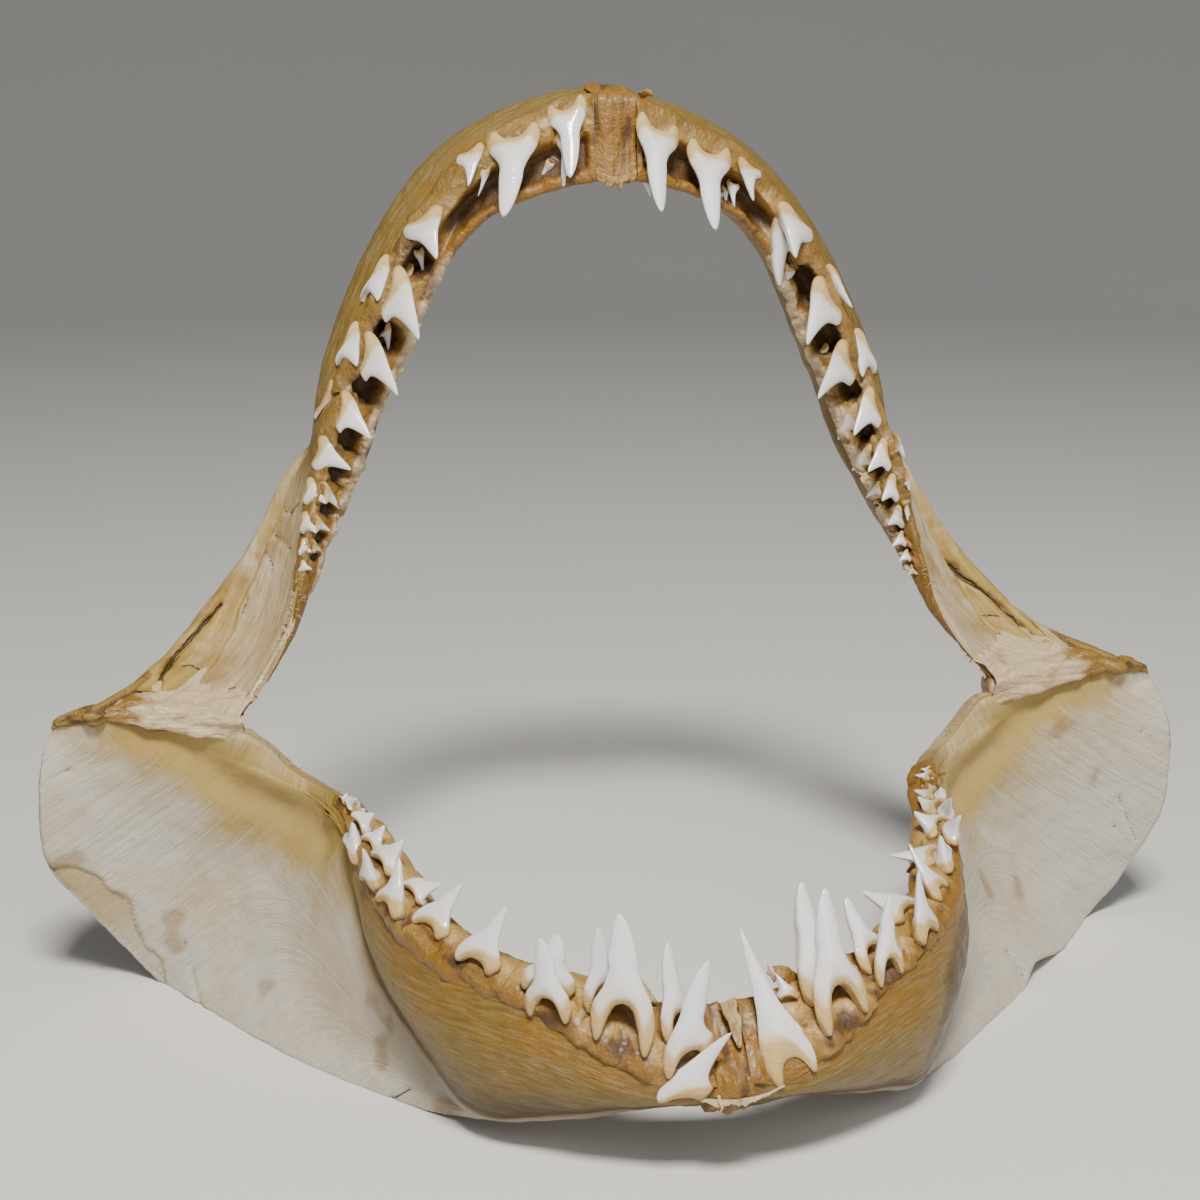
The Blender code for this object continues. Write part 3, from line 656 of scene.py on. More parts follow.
def finish_piece(obj, kind, nodes=()):
    """Give a piece its material and its body, and hide the CAD nodes it stands for."""
    obj.data.materials.clear()
    obj.data.materials.append(look(kind))
    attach(obj, "root")
    if nodes:
        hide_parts(*nodes)


# ------------------------------------------------------------------ materials


class Wire:
    """Output of a node that takes part in sums; numbers may stand beside it."""

    def __init__(self, looks, socket):
        self.looks = looks
        self.socket = socket

    def maths(self, operation, *values):
        """Math node on these values."""
        return self.looks.node("ShaderNodeMath", {"operation": operation},
                               dict(enumerate(values)))

    def __add__(self, other):
        return self.maths("ADD", self, other)

    def __radd__(self, other):
        return self.maths("ADD", other, self)

    def __sub__(self, other):
        return self.maths("SUBTRACT", self, other)

    def __rsub__(self, other):
        return self.maths("SUBTRACT", other, self)

    def __mul__(self, other):
        return self.maths("MULTIPLY", self, other)

    def __rmul__(self, other):
        return self.maths("MULTIPLY", other, self)

    def __abs__(self):
        return self.maths("ABSOLUTE", self)

    def limit(self):
        """Clamped to between nought and one."""
        return self.maths("MINIMUM", self.maths("MAXIMUM", self, 0.0), 1.0)

    def rise(self, low, high):
        """Smooth rise from nought at low to one at high."""
        return self.looks.node("ShaderNodeMapRange", {"interpolation_type": "SMOOTHSTEP"},
                               {0: self, 1: low, 2: high, 3: 0.0, 4: 1.0})


class Looks:
    """One material under construction."""

    def __init__(self, name):
        self.material = bpy.data.materials.new(name)
        self.material.use_nodes = True
        self.tree = self.material.node_tree
        self.shader = self.tree.nodes["Principled BSDF"]

    def node(self, kind, settings=None, sockets=None, out=0):
        """Any node, from its type, its settings and the values or links of its sockets."""
        made = self.tree.nodes.new(kind)
        for key, value in (settings or {}).items():
            setattr(made, key, value)
        for key, value in (sockets or {}).items():
            self.feed(made.inputs[key], value)
        return Wire(self, made.outputs[out])

    def feed(self, socket, value):
        """Set a socket or link it."""
        if isinstance(value, Wire):
            self.tree.links.new(value.socket, socket)
        elif socket.type == "RGBA":
            socket.default_value = (*value[:3], 1)
        else:
            socket.default_value = value

    def fields(self, *names):
        """Numbers kept on the mesh."""
        return [self.node("ShaderNodeAttribute", {"attribute_name": name}, out="Fac")
                for name in names]

    def layers(self, shade, *coats):
        """Colours over one another, as (colour, factor) from the lowest up."""
        for above, factor in coats:
            shade = self.node("ShaderNodeMix", {"data_type": "RGBA"},
                              {0: factor, 6: shade, 7: above}, out=2)
        return shade

    def spots(self, vector, scale, detail=3.0, rough=0.55, warp=0.0):
        """Noise between nought and one."""
        return self.node("ShaderNodeTexNoise", {},
                         {"Vector": vector, "Scale": scale, "Detail": detail,
                          "Roughness": rough, "Distortion": warp})

    def stretch(self, vector, factors):
        """A vector whose parts are multiplied."""
        return self.node("ShaderNodeVectorMath", {"operation": "MULTIPLY"},
                         {0: vector, 1: factors})

    def place(self):
        """Object coordinates in metres."""
        return self.node("ShaderNodeTexCoord", out="Object")

    def fibre_map(self):
        """The piece's own map, along and across its fibres, in metres."""
        return self.node("ShaderNodeUVMap", {"uv_map": "fibres"})

    def bumps(self, *reliefs):
        """Bumps over one another, as (height, depth in metres) from the lowest up."""
        below = {}
        for height, depth in reliefs:
            below = {"Normal": self.node("ShaderNodeBump", {}, {
                "Height": height, "Distance": depth, "Strength": 1.0, **below})}
        return below["Normal"]

    def surface(self, **values):
        """Feed the surface shader; underscores stand for spaces."""
        for key, value in values.items():
            self.feed(self.shader.inputs[key.replace("_", " ")], value)
        return self.material


def cartilage_look(settings):
    """Dried cartilage: chalk to ochre, with fibres, stains and brown edges, and umber painted shade
    in its creases and cracks.
    """
    looks = Looks("dried_cartilage_surface")
    place = looks.place()
    fibres = looks.fibre_map()
    band, stain, gold, edge, spot, inside, crack, under = looks.fields(
        "band", "stain", "gold", "edge", "spot", "inside", "crack", "under")
    broad = looks.spots(place, 26, 4, 0.62)
    blotch = looks.spots(place, 75, 4, 0.62)
    fine = looks.spots(place, 420, 4, 0.65)
    wisps = looks.spots(looks.stretch(fibres, (40, 480, 1)), 1.0, 6, 0.66, 0.6)
    threads = looks.spots(looks.stretch(fibres, (85, 1 / settings.fibre, 1)), 1.0, 4, 0.65, 0.5)
    uneven, streak = broad - 0.5, wisps - 0.5
    patch, speck = blotch - 0.5, fine - 0.5
    golden = gold + uneven * gold * 1.6 + streak * (gold + 0.15) * 0.9
    worn = threads.rise(0.47, 0.72) * 0.27 + fine.rise(0.55, 0.8) * 0.16
    # Painted shade along the cracks and the plates' crevice.
    slit = 1 - (crack + speck * 0.7 + patch * 0.5).rise(0.05, 0.33)
    shade = looks.layers(
        settings.chalk,
        (settings.cream, (uneven * 2.4 + streak * 1.4 + band * 1.4 + 0.16).limit() * 0.85),
        (settings.ochre, (band + uneven * 0.8 + streak * 0.4).rise(0.35, 0.95) * 0.95),
        (settings.sulphur, golden.rise(0.08, 0.95) * 0.85),
        (settings.amber, (stain + patch * stain).rise(0.2, 0.95) * 0.85),
        (settings.umber, worn * (band * 0.8 + 0.3) * (1 - gold * 0.5)),
        (settings.chalk, threads.rise(0.55, 0.3) * (0.12 - gold * 0.08)),
        (settings.amber, (spot * 1.3 + patch * 2.4 - 0.25).limit() * spot * 0.5),
        (settings.sulphur, under * 0.55),
        # Umber from the edge field: brown dried edges, and painted shade in the creases and
        # troughs.
        (settings.umber, (edge + patch * 1.6 * edge + streak * edge).rise(0.2, 1.0) * 0.8),
        (settings.ochre, inside * 0.35),
        (settings.umber, slit * 0.65))
    grain = looks.bumps((threads * (0.8 - gold * 0.5) + wisps * (1.0 - gold * 0.5), 0.0007),
                        (fine, 0.0003), (1 - slit, 0.0008))
    return looks.surface(
        Base_Color=shade, Roughness=settings.roughness + speck * 0.3 + (0.4 - band) * 0.14,
        Normal=grain, Coat_Weight=band * 0.14, Coat_Roughness=0.28, Specular_IOR_Level=0.3,
        Subsurface_Weight=0.1, Subsurface_Radius=(0.004, 0.0022, 0.001), Subsurface_Scale=1.0)


def tooth_look(settings):
    """Glossy enamel crown over a porous, stained root."""
    looks = Looks("tooth_surface")
    place = looks.place()
    crown, = looks.fields("crown")
    fine = looks.spots(place, 1100, 3, 0.6)
    broad = looks.spots(place, 160, 4, 0.6)
    streaks = looks.spots(looks.stretch(place, (700, 700, 120)), 1.0, 3, 0.6)
    line = (crown + (broad - 0.5) * 0.5).rise(-0.25, 0.35)
    shade = looks.layers(
        settings.stain,
        (settings.root, (crown + (broad - 0.5) * 1.2).rise(-1.7, -0.7)),
        (settings.enamel, line),
        (settings.root, (crown + (streaks - 0.5) * 1.5).rise(1.6, 0.1) * 0.3))
    pits = looks.bumps((fine, 0.0004))
    smooth = looks.bumps((broad + streaks * 0.3, 0.0003))
    normal = looks.node("ShaderNodeMix", {"data_type": "VECTOR"},
                        {0: line, 4: pits, 5: smooth}, out=1)
    return looks.surface(Base_Color=shade, Roughness=0.5 - line * 0.36, Normal=normal,
                         Coat_Weight=line * 0.7, Coat_Roughness=0.05, Subsurface_Weight=0.12,
                         Subsurface_Radius=(0.003, 0.0024, 0.002), Subsurface_Scale=1.0)


def tissue_look(settings):
    """Dried gum and ligament: amber where thick, pale where thin, with painted shade in the folds.
    """
    looks = Looks("dried_tissue_surface")
    place = looks.place()
    depth, thin, rim, sleeve = looks.fields("depth", "thin", "rim", "sleeve")
    broad = looks.spots(place, 95, 4, 0.62)
    blotch = looks.spots(place, 260, 4, 0.6)
    fine = looks.spots(place, 900, 4, 0.6)
    uneven, patch, speck = broad - 0.5, blotch - 0.5, fine - 0.5
    # The depth field carries painted shade in folds, hollows and pockets; hollow adds random brown
    # blotches to it.
    hollow = depth - thin * 0.25 + patch * 0.7 + uneven * 0.5
    # Painted shade in a thin crevice along the gum's sunken border.
    crevice = 1 - abs(rim + patch * 0.3 - 0.62).rise(0.02, 0.2)
    shade = looks.layers(
        settings.gum,
        (settings.edge, (rim + uneven * 1.2 + patch).rise(0.1, 0.7)),
        (settings.sleeve, (sleeve + uneven * 0.9 + patch * 0.8).rise(0.25, 0.9)),
        (settings.skin, (thin + uneven * 1.4 * thin + patch * 0.5).rise(0.25, 0.9)),
        (settings.brown, hollow.rise(0.15, 0.75) * 0.9),
        (settings.dark, (depth + patch * 0.6).rise(0.85, 1.3) * 0.9),
        (settings.brown, fine.rise(0.54, 0.78) * 0.35),
        (settings.brown, crevice * 0.55))
    wrinkle = looks.bumps((broad, 0.0014), (blotch, 0.0009), (fine, 0.0004))
    return looks.surface(
        Base_Color=shade, Roughness=0.42 + speck * 0.5 + thin * 0.15 + depth * 0.25,
        Normal=wrinkle, Coat_Weight=0.18, Coat_Roughness=0.25, Subsurface_Weight=0.08,
        Subsurface_Radius=(0.003, 0.0012, 0.0005), Subsurface_Scale=1.0)


def floor_look(settings):
    """Plain pale floor with a faint unevenness."""
    looks = Looks("floor_surface")
    soft = looks.spots(looks.place(), 3, 2, 0.5)
    shade = looks.layers(settings.floor, (tuple(c * 0.96 for c in settings.floor), soft))
    return looks.surface(Base_Color=shade, Roughness=0.7)


LOOK_MAKERS = {"cartilage": (cartilage_look, "jaw_cartilage"), "tooth": (tooth_look, "jaw_teeth"),
               "tissue": (tissue_look, "jaw_tissue"), "floor": (floor_look, "jaw_studio")}
KEPT_LOOKS = {}


def look(kind):
    """Material of that kind, made when first asked for."""
    if kind not in KEPT_LOOKS:
        maker, group = LOOK_MAKERS[kind]
        KEPT_LOOKS[kind] = maker(getattr(bpy.context.scene, group))
    return KEPT_LOOKS[kind]


# ------------------------------------------------------------------ cartilages

# Length of a half jaw along its rim. Then, for each cartilage, how many rows it has and how
# many columns its outer face, edge, inner face and crest have.
JAW_RUN = 330
LOWER_ROWS = 400
LOWER_COUNTS = (120, 5, 54, 14)
UPPER_ROWS = 360
UPPER_COUNTS = (64, 6, 48, 20)

# Features of the lower jaw's outer face, as lines of guide points.
GROOVE = {
    "right": ((157, -19, 89), (150, -28, 88), (143, -30, 84), (136, -31, 77), (124, -34, 66),
              (109, -42, 62), (100, -52, 58)),
    "left": ((157, -25, 90), (147, -29, 86), (136, -31, 80), (125, -34, 68), (107, -45, 57))}
FOSSA = {"right": ((123, -33, 80), (111, -40, 71)), "left": ((122, -33, 78), (114, -38, 70))}
KNOB = {"right": ((121, -30, 84),), "left": ((118, -31, 83),)}
SLITS = {
    "right": (((142, -21, 14), (141, -30, 6), (138, -42, 0)), ((176, -24, 74), (182, -22, 70)),
              ((88, -118, 0), (84, -121, 6))),
    "left": (((172, -25, 44), (176, -25, 36), (180, -24, 28)), ((171, -21, 34), (180, -22, 23)),
             ((183, -24, 72), (178, -25, 68)), ((121, -74, 4), (117, -76, 14)))}
SPOTS = {
    "right": (((88, -98, 23), (84, -104, 19)), ((87, -104, 12), (86, -106, 8)),
              ((146, -24, 12), (148, -24, 22)), ((70, -133, 7), (74, -130, 4)),
              ((118, -62, 16), (121, -60, 13)), ((176, -26, 46), (181, -24, 44))),
    "left": (((115, -58, 28), (113, -60, 34)), ((164, -26, 62), (162, -26, 54)),
             ((134, -46, 22), (138, -42, 27)), ((150, -28, 74), (146, -29, 70)))}
# Where the face layer of the right wing has torn off short of the edge.
TORN_FROM = ((0.0, 1.1), (0.69, 1.08), (0.735, 1.0), (0.76, 0.975), (0.79, 0.965), (0.81, 0.955),
             (0.83, 0.92), (0.85, 0.935), (0.87, 0.925), (0.885, 0.945), (0.90, 1.02), (1.0, 1.1))
# Share down the left band, by row, from which it turns away from the light and gets painted shade.
TURNED_FROM = ((0.0, 0.44), (0.36, 0.42), (0.4, 0.27), (0.45, 0.17), (0.5, 0.13), (0.6, 0.06),
               (1.0, 0.06))
# Crevice inside the rolled rim of each plate, and the cracks of the plates.
PLATE_CREVICE = {
    "right": ((128, 4.8, 118), (133.3, 2.3, 112.8), (138.5, -1, 107.9), (143.4, -4.5, 104.1),
              (146.2, -10.8, 100.4), (148, -17.4, 97.1)),
    "left": ((118, 8, 124), (126, 4, 116), (133, 1, 110.5), (138, -2.5, 106.5),
             (141.5, -7.5, 102.5), (144.5, -14, 99))}
PLATE_SLITS = {
    "right": (((101, 5, 151), (106, 7, 147), (110, 10, 149)), ((109, 11, 139), (105, 2, 136)),
              ((112, 11, 133), (110, 6, 130), (111, 5, 127)), ((119, 5, 120), (121, 3, 115)),
              ((136, 1, 110), (142, -5, 103), (147, -11, 98)), ((125, -20, 99), (130, -18, 97)),
              ((134, -9, 101), (140, -8, 100))),
    "left": (((140, 3, 107), (145, -5, 101), (148, -12, 97), (151, -17, 95)),
             ((121, 6, 122), (125, 3, 118)), ((130, -3, 106), (134, -5, 105)))}
PLATE_SPOTS = {
    "right": (((138, 0, 107), (144, -8, 100)), ((109, 8, 140), (113, 9, 133)),
              ((128, -8, 104), (131, -12, 99)), ((122, 8, 124), (133, 6, 113))),
    "left": (((119, 2, 117), (125, -1, 111)), ((127, -9, 102), (124, -8, 106)),
             ((133, 1, 108), (139, -3, 103)), ((108, -4, 127), (112, -2, 121)))}


def fibre_map(loft, fans):
    """Map along and across the fibres: down a jaw's length, or fanning out over its wing."""
    run = np.linalg.norm(np.diff(loft.points, axis=1), axis=2)
    down = np.concatenate((np.zeros((len(loft.u), 1)), np.cumsum(run, axis=1)), axis=1)
    along_jaw = JAW_RUN * loft.u[:, None] + 0 * down
    if not fans:
        return np.stack((along_jaw, down), axis=-1) * MM
    t = np.where((loft.face == 0) | (loft.face == 2), loft.t, 1.0)
    fan = 0.1 + 0.9 * ease(0.45, 0.85, t) * np.ones_like(down)
    fan = np.maximum(fan, 0.1 + 0.9 * ease(0.66, 0.8, loft.u)[:, None])
    across = fan * (along_jaw - JAW_RUN) - down * (1 - fan)
    return np.stack((along_jaw * (1 - fan) + down * fan, across), axis=-1) * MM


def dot(loft, line, size, wander=0.0):
    """One at a line of guide points and nought past its size, in millimetres."""
    return np.exp(-(np.maximum(loft.near(line) + wander, 0) / size)**2)


def blots(loft, lines, size, wander):
    """The strongest of the dots at several lines."""
    return np.maximum.reduce([dot(loft, line, size, wander) for line in lines])


def face_shares(loft):
    """Rows, shares down the outer face and which columns lie on it."""
    t = np.where(loft.face == 3, 0.0, np.where(loft.face == 1, 1.0, loft.t))
    return loft.u[:, None], t[None], (loft.face == 0)[None]


def cartilage_piece(loft, name, fields, relief, fans, node):
    """Lay a quilt over a cartilage's surface with its relief, and close it."""
    fibres = fibre_map(loft, fans)
    threads = ripple(np.concatenate((fibres / MM / (26, 2.6), 0 * fibres[..., :1]), axis=-1), 1, 3)
    relief = relief + threads * 0.16
    start = loft.points[0, :, 0].copy()
    loft.points += loft.outward() * relief[..., None]
    loft.points[..., 2] = np.maximum(loft.points[..., 2], 0)
    loft.points[0, :, 0] = start
    obj = closed_quilt(name, loft.points, loft.side, fields, fibres)
    finish_piece(obj, "cartilage", [node])
    return obj


def lower_cartilage(side):
    """One half of the lower jaw: tooth band, crease and wing."""
    loft = Loft("lower", side, LOWER_ROWS, LOWER_COUNTS)
    u, t, outer = face_shares(loft)
    seed = 3.0 if side == "left" else 11.0
    waves = ripple(loft.points, 45, 3, seed)
    lumps = ripple(loft.points, 9, 3, seed + 5)
    groove = dot(loft, GROOVE[side], 6.5)
    fossa = dot(loft, FOSSA[side], 5.0)
    knob = np.exp(-(loft.near(KNOB[side], outside=False) / 4.0)**2)
    torn = (t - through(TORN_FROM, u) + lumps * 0.012) * 150
    under = ease(-0.3, 0.5, torn) * outer if side == "right" else 0
    # Painted shade in the valley between the band and the wing.
    crease = np.exp(-((t - 0.47) / 0.045)**2) * (1 - ease(0.6, 0.74, u)) * ease(0.02, 0.15, u)
    relief = (waves * 1.1 * ease(0.5, 0.7, t) + lumps * 0.35 - 2.8 * groove + 0.9 * fossa
              + 2.2 * knob - 1.2 * under)
    crack = np.minimum.reduce([loft.near(line) for line in SLITS[side]])
    relief -= 0.8 * np.exp(-(crack / 0.9)**2)
    band = (1 - ease(0.44, 0.6, t) * ease(0.05, 0.3, u)) * (1 - 0.7 * ease(0.68, 0.84, u))
    # Painted shade on the lower part of each band, where it turns away from the light.
    if side == "left":
        turned = through(TURNED_FROM, u)
        shaded = 0.95 * ease(turned - 0.14, turned, t) * ease(0.28, 0.36, u)
    else:
        shaded = 0.6 * ease(0.18, 0.44, t)
    rear = ease(0.9, 0.96, u) * (1 - ease(0.06, 0.24, t + 0.25 * (1 - u)))
    fields = {
        "band": band,
        "stain": (1 - ease(0.03, 0.34, t)) * (1 - ease(0.66, 0.76, u)) * (0.75 + 0.5 * lumps),
        "gold": (groove * 0.9 + 0.4 * dot(loft, GROOVE[side], 15, lumps * 3)
                 + 0.5 * dot(loft, GROOVE[side], 32, lumps * 4)),
        # Umber: brown dried edges and knob, with painted shade along the crease and the lower band.
        "edge": np.maximum(rear, ease(0.985, 1.0, t) * 0.6 * ease(0.75, 0.95, u))
                + crease * (1.15 if side == "left" else 0.5) + 0.5 * knob
                + shaded * (1 - ease(0.47, 0.53, t)) * (1 - ease(0.55, 0.68, u)),
        "spot": blots(loft, SPOTS[side], 3.6, lumps * 4),
        "inside": loft.face == 2,
        "crack": np.minimum(crack, 3),
        "under": under * (0.4 + 0.6 * ease(0.8, 0.84, u)),
    }
    return cartilage_piece(loft, "lower_cartilage_" + side, fields, relief, True,
                           "lower_jaw_" + side)


def upper_cartilage(side):
    """One half of the upper jaw: the arch with its teeth and the plate over the joint."""
    loft = Loft("upper", side, UPPER_ROWS, UPPER_COUNTS)
    u, t, outer = face_shares(loft)
    seed = 7.0 if side == "left" else 17.0
    waves = ripple(loft.points, 30, 3, seed)
    lumps = ripple(loft.points, 7, 4, seed + 3)
    plate = ease(0.6, 0.7, u) * outer
    border = 0.9 - 0.24 * ease(0.72, 0.97, u) + 0.02 * lumps
    rolled = plate * (ease(border, border + 0.08, t) - 0.5 * ease(0.95, 1.0, t))
    trough = plate * np.exp(-((t - border + 0.02) / 0.035)**2)
    ridge = plate * (1 - ease(0.76, 0.86, u)) * (1 - ease(0.0, 0.12, t))
    crack = np.minimum.reduce([loft.near(line) for line in PLATE_SLITS[side]]
                              + [0.5 * loft.near(PLATE_CREVICE[side])])
    crevice = dot(loft, PLATE_CREVICE[side], 1.0, lumps * 0.6)
    stained = dot(loft, PLATE_CREVICE[side], 4.0, lumps * 3)
    relief = (waves * 0.7 + lumps * (0.3 + 0.3 * ease(0.9, 1.0, u)) + 2.4 * rolled - 1.4 * trough
              - 1.3 * crevice + 1.3 * ridge - 0.6 * np.exp(-(crack / 0.8)**2))
    pale = np.exp(-((u - 0.14) / 0.08)**2) * ease(0.5, 0.8, t) * outer if side == "left" else 0
    # Painted light: the top of the arch is paler and more golden, as though lit from above.
    top = ease(0.35, 0.8, t) * (1 - ease(0.35, 0.6, u))
    fields = {
        "band": np.clip(1 - plate * 0.52 - pale - 0.3 * top, 0, 1),
        "stain": (1 - ease(0.02, 0.5, t)) * (1 - plate) * (0.7 + 0.4 * lumps),
        "gold": (np.maximum(trough, ridge * 0.9) * (0.7 + 0.5 * lumps) + 0.4 * rolled
                 + 0.6 * stained + 0.22 * plate + 0.65 * top),
        # Umber: darker towards the foot, and painted shade in the trough and in the crevice inside
        # the rolled rim.
        "edge": np.maximum(ease(0.97, 1.0, u) * 0.6 + 0.35 * trough, 1.2 * crevice),
        "spot": blots(loft, PLATE_SPOTS[side], 5.0, lumps * 4),
        "inside": loft.face == 2,
        "crack": np.minimum(crack, 3),
        "under": 0,
    }
    return cartilage_piece(loft, "upper_cartilage_" + side, fields, relief, False,
                           "upper_jaw_" + side)


# ------------------------------------------------------------------ teeth

# Half widths of a tooth from the arch of its root to its tip, as (share of height, share).
FRONT_WIDTH = ((0.0, 0.92), (0.1, 1.0), (0.2, 0.86), (0.27, 0.62), (0.34, 0.48), (0.5, 0.43),
               (0.65, 0.37), (0.78, 0.3), (0.88, 0.22), (0.95, 0.13), (0.985, 0.06), (1.0, 0.0))
SIDE_WIDTH = ((0.0, 0.9), (0.06, 1.0), (0.13, 1.02), (0.2, 0.92), (0.28, 0.72), (0.36, 0.54),
              (0.48, 0.4), (0.62, 0.3), (0.76, 0.21), (0.88, 0.13), (0.96, 0.06), (1.0, 0.0))
FRONT_DEPTH = ((0.0, 0.2), (0.06, 0.36), (0.16, 0.4), (0.3, 0.36), (0.5, 0.3), (0.75, 0.2),
               (0.92, 0.1), (0.985, 0.05), (1.0, 0.0))
SIDE_DEPTH = ((0.0, 0.26), (0.06, 0.42), (0.16, 0.42), (0.3, 0.28), (0.5, 0.21), (0.75, 0.13),
              (0.92, 0.07), (1.0, 0.0))
# Underside of a root, from its middle to the outside of a lobe, as (turn, (way out, drop)).
UNDERSIDE = ((0.0, (0.0, 0.0)), (0.2, (0.22, 0.04)), (0.35, (0.39, 0.17)), (0.48, (0.52, 0.42)),
             (0.6, (0.64, 0.76)), (0.7, (0.73, 0.95)), (0.8, (0.83, 1.0)), (0.9, (0.93, 0.92)),
             (1.0, (0.98, 0.72)))
# Share of the round primitive, from its lower pole, that becomes the underside.
CAP = 0.16
# A tooth whose roots' arch is higher than this has the form of the front teeth.
FRONT_ARCH = 0.15
# Share of the arch in the tables that the teeth of a jaw show.
ARCH_SHOWN = {"lower": 1, "upper": 0.7}


def tooth_pattern(name, widths, depths, settings):
    """Tooth two wide and one high, from a round primitive: a forked root and a blade."""
    alone()
    bpy.ops.mesh.primitive_uv_sphere_add(segments=settings.segments, ring_count=settings.rings,
                                         radius=1, location=(0, 0, 0))
    obj = bpy.context.object
    obj.name = name
    mesh = obj.data
    points = points_of(mesh)
    ring = np.arccos(np.clip(-points[:, 2], -1, 1)) / pi
    turn = np.arctan2(points[:, 1], points[:, 0])
    height = np.clip((ring - CAP) / (1 - CAP), 0, 1)
    inset = np.where(ring < CAP, np.sin(ring / CAP * pi / 2), 1)
    way = np.cos(turn) * inset
    forked = through(UNDERSIDE, np.abs(way))
    straight = ease(0.0, 0.2, height)
    x = (np.sign(way) * forked[:, 0] * (1 - straight) + way * straight) * through(widths, height)
    edge = np.abs(np.sin(turn))**1.2 * np.sign(np.sin(turn))
    y = through(depths, height) * inset * edge * np.where(edge > 0, 1.3, 0.75)
    hollow = (edge < 0) * (1 - ease(0.0, 0.3, height)) * np.exp(-(x / 0.4)**2)
    root = 0.07 + 0.16 * x**2 if name == "front_pattern" else 0.15 - 0.13 * x
    set_share(mesh, "crown", (height - root) * 6)
    set_share(mesh, "droop", forked[:, 1] * (1 - ease(0.0, 0.4, height)))
    place_points(mesh, np.stack((x, y * (1 - 0.3 * hollow), height), axis=1))
    return obj


def tooth_axes(row, facing):
    """Tip, foot, half width and directions of the tooth in a row of a table."""
    tip, near, far = (np.array(point, float) for point in row[:3])
    foot = (near + far) / 2
    half = np.linalg.norm(far - near) / 2
    across = (far - near) / (2 * half)
    rise = tip - foot
    return tip, foot, half, across, rise, unit(np.cross(rise, across)) * facing


def set_tooth(pattern, name, jaw, side, row):
    """Copy of a pattern, with its lobes and its tip put where a row says."""
    tip, foot, half, across, rise, lingual = tooth_axes(row, FACING[jaw])
    arch = row[3] * ARCH_SHOWN[jaw]
    obj = copy_of(pattern, name)
    mesh = obj.data
    points = points_of(mesh)
    droop = np.zeros(len(mesh.vertices))
    mesh.attributes["droop"].data.foreach_get("value", droop)
    knee = (foot + 0.5 * rise - across * (0.2 * (rise @ across))
            + lingual * 0.05 * np.linalg.norm(rise))
    t = (arch + (1 - arch) * points[:, 2] - arch * droop)[:, None]
    centre = (1 - t)**2 * foot + 2 * t * (1 - t) * knee + t**2 * tip
    axis = unit(2 * (1 - t) * (knee - foot) + 2 * t * (tip - knee))
    square = unit(across - axis * (axis @ across)[:, None])
    sideways = unit(across + (square - across) * ease(0.1, 0.5, t))
    inwards = unit(np.cross(axis, sideways)) * FACING[jaw]
    bulk = half * (1 + 0.7 * (1 - float(ease(3, 6, half))))
    placed = centre + sideways * points[:, 0:1] * half + inwards * points[:, 1:2] * bulk
    place_points(mesh, to_world(placed, side))
    return obj


def join_pieces(name, parts):
    """Join objects into one, with one mesh."""
    alone()
    for part in parts:
        part.select_set(True)
    bpy.context.view_layer.objects.active = parts[0]
    bpy.ops.object.join()
    obj = bpy.context.object
    obj.name = name
    obj.data.name = name
    face_outwards(obj)
    return obj


def teeth_of(jaw, side):
    """The teeth of one half, set along its rim and joined."""
    name = f"{jaw}_teeth_{side}"
    settings = bpy.context.scene.jaw_teeth
    patterns = {
        "front": tooth_pattern("front_pattern", FRONT_WIDTH, FRONT_DEPTH, settings),
        "side": tooth_pattern("side_pattern", SIDE_WIDTH, SIDE_DEPTH, settings)}
    parts = []
    for k, row in enumerate(TEETH[jaw][side]):
        form = "front" if row[3] > FRONT_ARCH else "side"
        parts.append(set_tooth(patterns[form], f"{name}_{k:02d}", jaw, side, row))
    for pattern in patterns.values():
        bpy.data.objects.remove(pattern, do_unlink=True)
    obj = join_pieces(name, parts)
    finish_piece(obj, "tooth")
    return obj


# ------------------------------------------------------------------ tissue

# How far the gum laps over the outer face, as shares of the way down it along a half.
GUM_REACH = {
    ("lower", "left"): ((0.0, 0.1), (0.5, 0.08), (0.62, 0.2), (0.74, 0.25), (1.0, 0.1)),
    ("lower", "right"): ((0.0, 0.1), (0.5, 0.07), (0.62, 0.12), (0.7, 0.16), (1.0, 0.1)),
    ("upper", "left"): ((0.0, 0.1), (0.35, 0.16), (0.55, 0.12), (0.7, 0.08), (1.0, 0.08)),
    ("upper", "right"): ((0.0, 0.2), (0.3, 0.18), (0.5, 0.22), (0.6, 0.34), (0.68, 0.38),
                         (0.78, 0.2), (1.0, 0.1))}
# By jaw: share of the way down the outer face to which the gum's sheet reaches, share along
# the half at which it ends, and how far a root swells it, as a share of the root's width.
GUM_DOWN = {"lower": 0.34, "upper": 0.44}
GUM_END = {"lower": 0.74, "upper": 0.80}
GUM_SWELL = {"lower": 0.27, "upper": 0.14}
GUM_ROWS = 620
GUM_COUNTS = (90, 5, 44, 30)
GUM_WALL = 0.0008
# Length of the upper jaw's rim that the places of the pockets refer to.
UPPER_RIM_RUN = 285


def clear_of_teeth(points, teeth, facing):
    """Press gum that stands before a tooth's root back to the middle of the tooth."""
    for row in teeth:
        _, foot, half, across, rise, lingual = tooth_axes(row, facing)
        from_foot = points - foot
        high = (from_foot @ rise) / (rise @ rise)
        wide = np.abs(from_foot @ across - high * (rise @ across)) / half
        before = from_foot @ lingual
        within = ((1 - ease(0.95, 1.35, wide)) * ease(-0.12, -0.02, high)
                  * (1 - ease(0.5, 0.7, high)) * (before > -0.7 * half))
        points = points + lingual * (np.clip(-before, 0, None) * within)[..., None]
    return points


